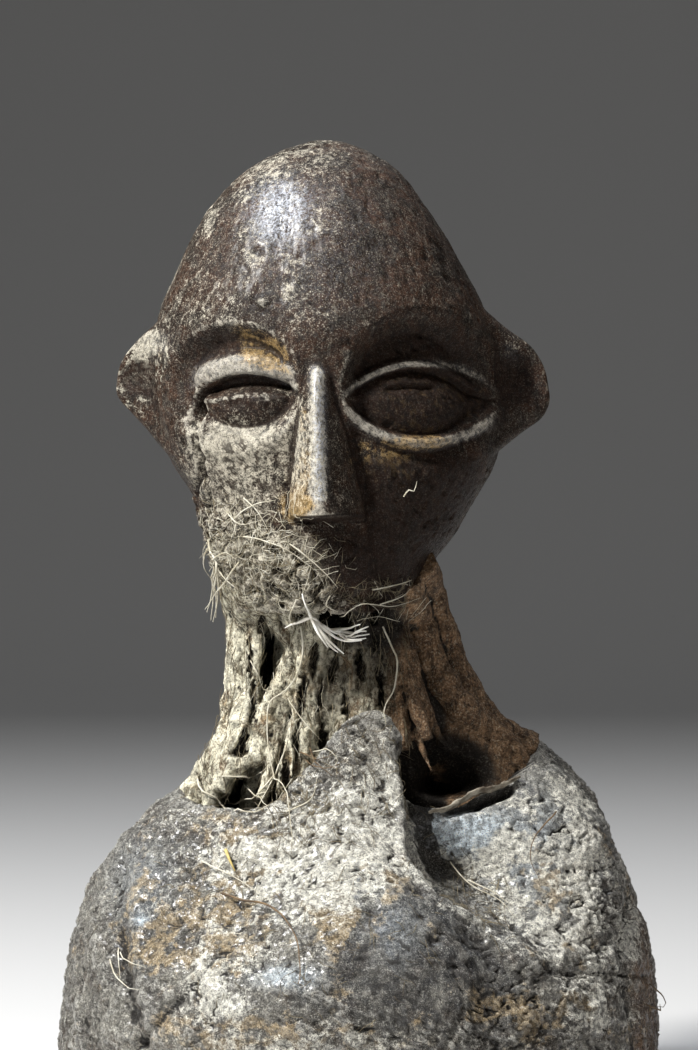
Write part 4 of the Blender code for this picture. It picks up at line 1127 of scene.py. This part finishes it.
def makeCharge():
    azimuths = spacedBy(lambda turn: 1 + 0.9 * (np.cos(turn) > 0.1) - 0.35 * (np.cos(turn) < -0.3),
                        -math.pi, math.pi, charge["columns"], closed=True)
    shares = spacedBy(lambda share: 1 + 0.5 * (share < 0.6), 0, 1, charge["rows"])
    azimuth, share = np.meshgrid(azimuths, shares)
    points, normal = alongNormal(chargeForm, azimuth, share)
    relief = crustSkin(points, azimuth, share) * ease(0, 0.07, 1 - share)
    rings = points + normal * (0.001 * relief)[..., None]
    rings[-1, :, 2] = 0
    # the rim turns in under the foot of the neck, and the foot turns in under the charge
    inner = rings[0] * np.array([0.86, 0.84, 1]) + np.array([0, 0, -0.0022])
    deeper = rings[0] * np.array([0.66, 0.60, 1]) + np.array([0, 0, -0.0060])
    under = rings[-1] * np.array([0.985, 0.985, 0])
    rings = np.concatenate([[deeper], [inner], rings, [under]])
    mesh = loft("crustedCharge", rings, np.array([0, 0, 0.034]), np.array([0, 0, 0.0]))
    finishCharge(mesh)
    return placed("crustedCharge", mesh, resinCrust)


def finishCharge(mesh):  # where the crust is sooty, dusty, ochre, inky, worn, blue and brown, with painted light, painted shade and painted highlights
    out, wide = readShape(mesh, 3, 60, 0.00007, 0.0005)
    points, normals = pointsOf(mesh), pointsOf(mesh, "normal")
    x, y = pictureOf(points)
    front = ease(0.0, 0.008, -points[:, 1])
    patchy, earthy = cloud(points, 0.0055, 4, 41), cloud(points, 0.0065, 4, 52)
    sootyMiddle = spot(x, y, (440, 968), (112, 62), 6, power=4) * front
    floor = smoothFloor(x, y)
    # paler along the crest: painted light on the lit ridge
    pale = spots(x, y, chargeMarks["pale"]) + 0.30 * stroke(x, y, crest, 8)
    dust = 1.15 * pale * (1 - 0.7 * sootyMiddle) * (1 - 0.8 * floor) * front + 0.10 * (1 - sootyMiddle)
    dust += 0.10 * (1 - front) * ease(0.0, 0.4, patchy)
    dust = dust * (1 + 1.4 * patchy + 0.6 * cloud(points, 0.0016, 3, 61))
    dust += 0.18 * np.clip(normals[:, 2], 0, 1)
    keep(mesh, "dust", np.clip(dust, 0, 1))
    # painted shadow of the tongue's edge, down the gully beside it
    away, side = lineDistance(x + 5 * cloud(points, 0.0018, 3, 53), y, crest)
    shore = np.where(side < 0, away, -away)
    gully = ease(0, 6, shore) * (1 - ease(18, 30, shore))
    gully = gully * ease(732, 750, y) * (1 - ease(868, 896, y)) * front
    # painted shade in the hollows, weaker behind
    dark = np.clip(-0.35 * out - 0.9 * wide, 0, 1) * (1 - 0.45 * (1 - front))
    stain = 0.62 * ease(0.05, 0.40, cloud(points, 0.0018, 4, 72)) * (1 - 0.6 * floor)
    stain = stain * (0.35 + 0.65 * spot(x, y, (450, 985), (130, 80), power=4))
    # painted shade in the slit under the strip of hide
    slit = stroke(x, y, charge["slit"], 7) * front
    keep(mesh, "hollow", np.clip(np.max([dark, stain, slit, gully], axis=0), 0, 1))
    ochre = spots(x, y, chargeMarks["earth"]) * front + 0.22
    keep(mesh, "earth", np.clip(ochre * (0.7 + 1.3 * earthy + 0.8 * cloud(points, 0.0017, 3, 63)), 0, 1))
    keep(mesh, "inky", np.clip(spots(x, y, chargeMarks["inky"]) * front + 0.35 * (1 - front), 0, 1))
    keep(mesh, "worn", readBack(mesh, "worn") * (1 - 0.55 * sootyMiddle))
    # the blue-grey floor of the hollow, and painted highlights on small spots of the crust
    keep(mesh, "blue", np.clip((1.2 * floor + spots(x, y, chargeMarks["blue"])) * front, 0, 1))
    brown = ease(624, 640, x) * front + 0.55 * ease(0.35, 0.75, patchy + 0.3) * (1 - front)
    keep(mesh, "brown", np.clip(brown, 0, 1))


crustedCharge = makeCharge()
print("charge packed:", len(crustedCharge.data.vertices), "points")

trees = {"head": treeOf(carvedHead.data), "neck": treeOf(boundNeck.data), "cords": treeOf(neckCords.data),
         "charge": treeOf(crustedCharge.data)}


# strands laid one by one, swept by a small tree of geometry nodes

def shaken(tree, geometry, scale, amount, seed=None):  # curves pushed about by noise
    where = node(tree, "GeometryNodeInputPosition").outputs[0]
    drift = node(tree, "ShaderNodeTexNoise", {"Vector": where, "Scale": scale, "Detail": 2.0})
    if seed is not None:
        drift.noise_dimensions = "4D"
        tree.links.new(seed, drift.inputs["W"])
    centred = node(tree, "ShaderNodeVectorMath", {0: drift.outputs[1], 1: (0.5, 0.5, 0.5)},
                   operation="SUBTRACT")
    offset = node(tree, "ShaderNodeVectorMath", {0: centred.outputs[0], "Scale": amount}, operation="SCALE")
    moved = node(tree, "GeometryNodeSetPosition", {"Geometry": geometry, "Offset": offset.outputs[0]})
    return moved.outputs[0]


def sweptOut(tree, curve, given, sides, thins, tip, out):  # curves swept to tapering strands of the finish
    along = node(tree, "GeometryNodeSplineParameter").outputs["Factor"]
    taper = node(tree, "ShaderNodeMapRange", {0: along, 1: thins, 2: 1.0, 3: 1.0, 4: tip}).outputs[0]
    ring = node(tree, "GeometryNodeCurvePrimitiveCircle", {"Resolution": sides, "Radius": 1.0}).outputs[0]
    swept = node(tree, "GeometryNodeCurveToMesh", {"Curve": curve, "Profile Curve": ring, "Fill Caps": True,
                                                   "Scale": times(tree, taper, given["Radius"])}).outputs[0]
    solid = node(tree, "GeometryNodeRealizeInstances", {"Geometry": swept}).outputs[0]
    finished = node(tree, "GeometryNodeSetMaterial", {"Geometry": solid, "Material": given["Finish"]})
    tree.links.new(finished.outputs[0], out["Geometry"])


def makeStrandTree():
    tree, given, out = newGroup("sweptStrand", "GeometryNodeTree", [
        ("Geometry", "Geometry", None), ("Radius", "Float", 0.0002), ("Tip", "Float", 0.3),
        ("Waver", "Float", 0.0002), ("Sides", "Int", 6), ("Seed", "Int", 1), ("Finish", "Material", None)],
        [("Geometry", "Geometry")])
    moved = shaken(tree, given["Geometry"], 330.0, given["Waver"], given["Seed"])
    sweptOut(tree, moved, given, given["Sides"], 0.25, given["Tip"], out)
    return tree


sweptStrand = makeStrandTree()


def setInputs(modifier, **values):
    for item in modifier.node_group.interface.items_tree:
        if item.item_type == "SOCKET" and item.in_out == "INPUT" and item.name in values:
            modifier[item.identifier] = values[item.name]


def handOver(piece, cadNode=None):
    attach(piece, "root")
    if cadNode:
        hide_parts(cadNode)


def sweep(name, lines, finish, radius, tip, waver, sides, seed):
    curve = bpy.data.curves.new(name, "CURVE")
    curve.dimensions = "3D"
    for line in lines:
        spline = curve.splines.new("POLY")
        spline.points.add(len(line) - 1)
        for point, here in zip(spline.points, line):
            point.co = (*here, 1)
    holder = bpy.data.objects.new(name, curve)
    scene.collection.objects.link(holder)
    modifier = holder.modifiers.new("sweep", "NODES")
    modifier.node_group = sweptStrand
    setInputs(modifier, Radius=radius, Tip=tip, Waver=waver, Sides=sides, Seed=seed, Finish=finish)
    mesh = evaluated(holder)
    mesh.name = name
    return placed(name, mesh, finish)


def laid(line, lift, bow):  # a line of the view dropped on the figure
    path = []
    steps = smoothLine(line, 5)
    for n, (across, down) in enumerate(steps):
        hit, ray = onto(list(trees.values()), across, down)
        path.append(hit - ray * (lift + bow * math.sin(math.pi * n / (len(steps) - 1))))
    path = np.array([tuple(point) for point in path])
    for _ in range(4):  # a stiff strand bridges the small dips, and never sinks in
        lower = np.minimum(path[:-2, 1], path[2:, 1])
        path[1:-1, 1] = np.minimum(path[1:-1, 1], 0.6 * path[1:-1, 1] + 0.4 * lower)
    return path


tuft = {"lift": 0.0056, "bow": 0.0008, "radius": 0.00027, "tip": 0.35, "waver": 0.0005, "splits": [
    [(300, 622), (311, 617), (330, 630), (352, 636), (369, 634)],
    [(311, 617), (325, 630), (345, 641), (362, 640)],
    [(311, 617), (322, 632), (334, 645), (344, 654)], [(311, 617), (320, 630), (330, 645), (338, 652)],
    [(311, 617), (318, 632), (328, 647)], [(311, 617), (298, 622), (285, 628)],
    [(311, 617), (306, 606), (302, 594)], [(330, 630), (345, 628), (360, 624)],
    [(345, 636), (356, 632), (368, 626)], [(340, 634), (352, 640), (366, 638)],
    [(335, 631), (350, 632), (366, 631)]]}
# the fibres that stand out: CAD node, finish, radius, lift and lines of the view
strands = {
    "throatStrand": ("throat_strand", paleFibre, 0.00014, 0.00035, [
        [(383, 627), (391, 645), (397, 662), (394, 688), (384, 708), (386, 724)]]),
    "neckStrand": ("neck_strand", paleFibre, 0.00015, 0.00035, [
        [(300, 622), (303, 648), (298, 672), (286, 690), (270, 702), (267, 728), (270, 757), (275, 776),
         (286, 788), (290, 815), (293, 842)]]),
    "pocketStrand": ("pocket_strand", paleFibre, 0.00014, 0.00035, [
        [(197, 776), (203, 790), (232, 806), (254, 812), (278, 798), (294, 776)],
        [(285, 750), (272, 781), (254, 813)], [(226, 803), (248, 797), (274, 790)],
        [(244, 784), (256, 792), (268, 806)], [(222, 776), (250, 776), (272, 764)],
        [(258, 794), (276, 772), (288, 742)]]),
    "chestRoot": ("chest_root", rootFibre, 0.00017, 0.00035, [
        [(222, 893), (246, 900), (262, 902), (278, 910), (290, 924), (298, 944), (300, 972), (298, 984)]]),
    "chestStraw": ("chest_straw", strawFibre, 0.00028, 0.00035, [[(226, 850), (230, 860), (235, 871)]]),
    "jawWisp": ("jaw_wisp", paleFibre, 0.00014, 0.0006, [
        [(208, 540), (211, 552), (217, 563), (214, 588), (211, 620)], [(239, 562), (222, 586), (205, 609)],
        [(217, 563), (216, 590), (216, 618)], [(214, 566), (212, 592), (207, 612)],
        [(216, 563), (219, 592), (213, 622)], [(212, 560), (226, 552), (236, 560)],
        [(217, 568), (226, 580), (236, 588)], [(208, 548), (204, 566), (212, 580)]]),
}
# finer hairs that cross them: finish, radius and lines of the view
looseHairs = {
    "paleHairs": (paleFibre, 0.00011, [
        [(340, 617), (362, 604), (392, 606), (420, 598)], [(352, 622), (378, 616), (400, 622)],
        [(372, 590), (392, 586), (412, 580)], [(380, 604), (402, 596), (410, 588)],
        [(202, 861), (234, 876), (263, 895)], [(120, 952), (132, 962), (146, 968)], [(118, 948), (120, 980)],
        [(110, 960), (118, 978), (140, 990)], [(450, 862), (470, 884), (500, 900), (515, 918)],
        [(468, 880), (490, 890), (512, 905)], [(404, 497), (409, 490), (414, 491), (417, 481)],
        [(288, 698), (300, 716), (322, 742)], [(312, 752), (326, 748), (338, 760), (330, 770)],
        [(250, 660), (268, 690), (284, 700)], [(296, 600), (290, 618), (300, 634)],
        [(330, 596), (326, 606), (338, 612)], [(286, 812), (310, 800), (318, 776)],
        [(232, 520), (250, 506), (276, 500)], [(226, 512), (240, 524), (262, 520)],
        [(244, 498), (258, 512), (268, 530)], [(238, 536), (262, 540), (290, 552), (318, 572)],
        [(290, 544), (318, 566), (338, 588)]]),
    "darkHairs": (rootFibre, 0.00012, [
        [(556, 812), (536, 834), (530, 858), (540, 880)], [(300, 752), (322, 758), (336, 752)],
        [(306, 760), (324, 768), (340, 764)], [(310, 748), (318, 764), (332, 776)],
        [(340, 655), (352, 668), (350, 690)], [(650, 984), (658, 989), (664, 1000), (656, 1006)],
        [(646, 1004), (654, 1006), (660, 1004)]]),
}


def makeStrands():
    for name, (finish, radius, lines) in looseHairs.items():
        paths = [laid(line, 0.0003, 0.0005) for line in lines]
        handOver(sweep(name, paths, finish, radius, 0.3, 0.0005, 5, 7))
    fan = [laid(line, tuft["lift"], tuft["bow"]) for line in tuft["splits"]]
    piece = sweep("throatTuft", fan, whiteFibre, tuft["radius"], tuft["tip"], tuft["waver"], 6, 1)
    handOver(piece, "throat_tuft")
    for name, (cadNode, finish, radius, lift, lines) in strands.items():
        paths = [laid(line, lift, 0.0004) for line in lines]
        piece = sweep(name, paths, finish, radius, 0.4, 0.00035, 6, seed=len(name))
        handOver(piece, cadNode)


makeStrands()
print("strands laid")


# strip of dry hide over the right hollow

strip = {"line": [(428, 812), (452, 803), (470, 790), (494, 785), (520, 776)], "width": 0.00099,
         "columns": 7, "stands": 0.0007, "thickness": 0.00028, "fray": 0.00022}


def makeStrip():
    line = smoothLine(strip["line"], 4)
    hits = [onto([trees["charge"], trees["neck"]], across, down)[0] for across, down in line]
    columns, points = strip["columns"], []
    for n, hit in enumerate(hits):
        share = n / (len(hits) - 1)
        wide = strip["width"] * (0.3 + 0.7 * math.sin(math.pi * share) ** 0.6)
        wide *= 1 + 0.6 * noise.noise(Vector((n * 0.55, 0, 0)))
        forward = min(hit.y, hits[0].lerp(hits[-1], share).y) - strip["stands"]
        for k in range(columns):
            t = k / (columns - 1) - 0.5
            curl = 0.0005 * math.cos(t * math.pi) + 0.0003 * noise.noise(Vector((n * 0.5, k, 2)))
            torn = 0.5 if k in (0, columns - 1) else 0.1
            ragged = 1 + torn * noise.noise(Vector((n * 0.9, k * 3, 8)))
            points.append((hit.x, forward - curl + 0.0012 * t, hit.z - t * wide * ragged))
    corners = [n * columns + k for n in range(len(hits) - 1) for k in range(columns - 1)]
    faces = [(a, a + 1, a + columns + 1, a + columns) for a in corners]
    piece = placed("shoulderStrip", meshFrom("shoulderStrip", points, faces), dryHide)
    thick = piece.modifiers.new("thickness", "SOLIDIFY")
    thick.thickness, thick.offset = strip["thickness"], 0
    smooth = piece.modifiers.new("rounding", "SUBSURF")
    smooth.levels = smooth.render_levels = 1
    mesh = evaluated(piece)
    mesh.name = "shoulderStrip"
    frayed, normals = pointsOf(mesh), pointsOf(mesh, "normal")
    movePoints(mesh, frayed + normals * (strip["fray"] * cloud(frayed, 0.0011, 3, 66))[:, None])
    return placed("shoulderStrip", mesh, dryHide)


handOver(makeStrip(), "shoulder_strip")


# mats of short fibre, scattered over chosen faces by geometry nodes

def makeMatTree():
    tree, given, out = newGroup("fibreMat", "GeometryNodeTree", [
        ("Geometry", "Geometry", None), ("Density", "Float", 1e6), ("Length", "Float", 0.003),
        ("Radius", "Float", 0.00006), ("Lift", "Float", 0.0004), ("Curl", "Float", 0.0008),
        ("Spread", "Float", 3.14), ("Lie", "Vector", (0, 0, -1)), ("Seed", "Int", 1),
        ("Finish", "Material", None)], [("Geometry", "Geometry")])

    def between(low, high, seed):
        return node(tree, "FunctionNodeRandomValue", {2: low, 3: high, "Seed": seed},
                    data_type="FLOAT").outputs[1]

    def turned(rotation, axis, angle):
        turn = node(tree, "FunctionNodeAxisAngleToRotation", {"Axis": axis, "Angle": angle}).outputs[0]
        return node(tree, "FunctionNodeRotateRotation", {"Rotation": rotation, "Rotate By": turn},
                    rotation_space="LOCAL").outputs[0]

    weight = node(tree, "GeometryNodeInputNamedAttribute", {"Name": "matted"}, data_type="FLOAT").outputs[0]
    scatter = node(tree, "GeometryNodeDistributePointsOnFaces", {
        "Mesh": given["Geometry"], "Density": times(tree, weight, given["Density"]), "Seed": given["Seed"]})
    # one fibre arches over the skin and is combed along Lie, then turned and tilted at random
    start = node(tree, "ShaderNodeCombineXYZ", {0: times(tree, given["Length"], -0.5)}).outputs[0]
    middle = node(tree, "ShaderNodeCombineXYZ", {2: given["Lift"]}).outputs[0]
    end = node(tree, "ShaderNodeCombineXYZ", {0: times(tree, given["Length"], 0.5)}).outputs[0]
    fibre = node(tree, "GeometryNodeCurveQuadraticBezier", {"Resolution": 6, "Start": start, "Middle": middle,
                                                            "End": end}).outputs[0]
    upright = node(tree, "FunctionNodeAlignRotationToVector", {"Vector": scatter.outputs["Normal"]}, axis="Z")
    combed = node(tree, "FunctionNodeAlignRotationToVector", {
        "Rotation": upright.outputs[0], "Vector": given["Lie"]}, axis="X", pivot_axis="Z").outputs[0]
    swing = between(times(tree, given["Spread"], -1.0), given["Spread"], given["Seed"])
    spun = turned(combed, (0, 0, 1), swing)
    tilted = turned(spun, (0, 1, 0), between(-0.28, 0.16, 5))
    many = node(tree, "GeometryNodeInstanceOnPoints", {
        "Points": scatter.outputs[0], "Instance": fibre, "Rotation": tilted,
        "Scale": between(0.45, 1.35, 9)}).outputs[0]
    real = node(tree, "GeometryNodeRealizeInstances", {"Geometry": many}).outputs[0]
    sweptOut(tree, shaken(tree, real, 420.0, given["Curl"]), given, 3, 0.3, 0.35, out)
    return tree


fibreMat = makeMatTree()


def growMat(name, source, region, finish, **values):
    carrier = source.data.copy()
    points = pointsOf(carrier)
    keep(carrier, "matted", np.clip(region(*pictureOf(points), points[:, 1]), 0, 1))
    holder = placed(name, carrier, finish)
    modifier = holder.modifiers.new("mat", "NODES")
    modifier.node_group = fibreMat
    setInputs(modifier, Finish=finish, **values)
    mesh = evaluated(holder)
    mesh.name = name
    handOver(placed(name, mesh, finish))
    print(name, len(mesh.polygons), "faces")


# where fibre grows: spots of the view as (amount, centre, radii, tilt, power), on what faces the viewer
matted = {
    "jaw": [(1, (270, 560), (66, 44), 22, 4), (0.5, (235, 520), (34, 22), 0, 3),
            (0.25, (388, 596), (34, 9), 0, 3)],
    "throat": [(1, (300, 625), (56, 26), 0, 4), (0.55, (375, 612), (40, 10), 0, 3),
               (0.55, (280, 720), (40, 60), 0, 3)],
    "chest": [(0.9, (300, 815), (42, 34), 0, 3), (0.8, (478, 895), (46, 20), 38, 3),
              (0.35, (365, 770), (40, 60), 0, 3), (0.1, (300, 900), (160, 120), 0, 4)],
}


def onJaw(x, y, depth):
    return (depth < -0.008) * spots(x, y, matted["jaw"])


def onChin(x, y, depth):
    return (depth < -0.004) * spot(x, y, (372, 594), (50, 12), power=4)


def onThroat(x, y, depth):
    return (depth < 0) * spots(x, y, matted["throat"])


def onNeck(x, y, depth):
    return (depth < 0) * (x < 410)


def onChest(x, y, depth):
    return (depth < 0) * spots(x, y, matted["chest"])


growMat("jawMat", carvedHead, onJaw, paleFibre, Density=1.0e6, Length=0.0030, Radius=0.00005,
        Lift=0.0006, Curl=0.0018, Spread=3.14, Seed=3)
growMat("jawMatDark", carvedHead, onJaw, dunFibre, Density=1.3e6, Length=0.0024, Radius=0.00006,
        Lift=0.0003, Curl=0.0016, Spread=3.14, Seed=8)
growMat("chinMat", carvedHead, onChin, dunFibre, Density=1.6e6, Length=0.0034, Radius=0.000055,
        Lift=0.0010, Curl=0.0022, Spread=3.14, Seed=12)
growMat("neckFuzz", neckCords, onThroat, paleFibre, Density=0.6e6, Length=0.0036, Radius=0.00005,
        Lift=0.0004, Curl=0.0012, Spread=0.5, Seed=4)
growMat("neckHair", neckCords, onNeck, dunFibre, Density=0.30e6, Length=0.0046, Radius=0.00006,
        Lift=0.0003, Curl=0.0010, Spread=0.35, Seed=6)
growMat("chestFuzz", crustedCharge, onChest, dunFibre, Density=1.1e6, Length=0.0034, Radius=0.000055,
        Lift=0.0007, Curl=0.0016, Spread=1.4, Seed=5)
print("fibre mats grown")


# hand the main pieces to the frame

for piece, slot, cadNode in ((carvedHead, "dark_wood", "carved_head"),
                             (boundNeck, "earthy_raffia", "raffia_neck"),
                             (neckCords, "earthy_raffia", "raffia_neck"),
                             (crustedCharge, "resin_crust", "charge_bundle")):
    handOver(piece, cadNode)


# pale floor, soft light and camera

# lamps: turn and rise in degrees seen from the figure, distance and size in metres, power in watts
studio = {
    "key": {"turn": -52, "rise": 42, "away": 0.70, "size": 0.13, "power": 9.5, "tint": (1.0, 0.985, 0.95)},
    "fill": {"turn": 62, "rise": 5, "away": 0.9, "size": 0.6, "power": 0.40, "tint": (1.0, 0.78, 0.58)},
    "above": {"turn": 30, "rise": 78, "away": 0.8, "size": 0.3, "power": 2.3, "tint": (0.97, 0.98, 1.0)},
    "top": {"turn": -72, "rise": 63, "away": 0.8, "size": 0.14, "power": 3.6, "tint": (0.86, 0.92, 1.0)},
    "back": {"turn": 165, "rise": 50, "away": 0.8, "size": 0.5, "power": 0.8, "tint": (0.92, 0.95, 1.0)},
}
floor = {"front": -1.4, "back": 1.3, "halfWidth": 2.2, "sweep": 0.9, "top": 2.6,
         "colour": (0.55, 0.545, 0.54, 1)}
world = {"colour": (0.62, 0.64, 0.68, 1), "strength": 0.012}


def makeFloor():  # a flat floor that sweeps up into the backdrop
    back, radius = floor["back"], floor["sweep"]
    curved = [(back + radius * math.sin(turn), radius - radius * math.cos(turn))
              for turn in np.linspace(0.1, math.pi / 2, 14)]
    rows = [(floor["front"], 0.0), (back, 0.0)] + curved + [(back + radius, floor["top"])]
    points = [(side * floor["halfWidth"], y, z) for y, z in rows for side in (-1, 1)]
    faces = [(2 * n, 2 * n + 1, 2 * n + 3, 2 * n + 2) for n in range(len(rows) - 1)]
    mesh = bpy.data.meshes.new("studioFloor")
    mesh.from_pydata(points, [], faces)
    mesh.shade_smooth()
    pale = bpy.data.materials.new("paleFloor")
    pale.use_nodes = True
    pale.node_tree.nodes["Principled BSDF"].inputs["Base Color"].default_value = floor["colour"]
    pale.node_tree.nodes["Principled BSDF"].inputs["Roughness"].default_value = 0.9
    placed("studioFloor", mesh, pale)


def makeLight():
    aim = Vector((0, 0, 0.085))
    for name, looks in studio.items():
        turn, rise = math.radians(looks["turn"]), math.radians(looks["rise"])
        way = Vector((math.sin(turn) * math.cos(rise), -math.cos(turn) * math.cos(rise), math.sin(rise)))
        lamp = bpy.data.lights.new(name, "AREA")
        lamp.shape, lamp.size, lamp.energy, lamp.color = "DISK", looks["size"], looks["power"], looks["tint"]
        holder = bpy.data.objects.new(name, lamp)
        holder.location = aim + way * looks["away"]
        holder.rotation_euler = (-way).to_track_quat("-Z", "Y").to_euler()
        scene.collection.objects.link(holder)
    scene.world = bpy.data.worlds.new("studio")
    scene.world.use_nodes = True
    background = scene.world.node_tree.nodes["Background"].inputs
    background["Color"].default_value = world["colour"]
    background["Strength"].default_value = world["strength"]
    scene.view_settings.view_transform = "Standard"


def makeCamera():
    lens = bpy.data.cameras.new("photoView")
    lens.sensor_fit, lens.sensor_width, lens.lens = "HORIZONTAL", 36, view["lens"]
    holder = bpy.data.objects.new("photoView", lens)
    holder.location = view["eye"]
    holder.rotation_euler = (math.pi / 2, 0, 0)
    scene.collection.objects.link(holder)
    scene.camera = holder


makeFloor()
makeLight()
makeCamera()
print("studio set")
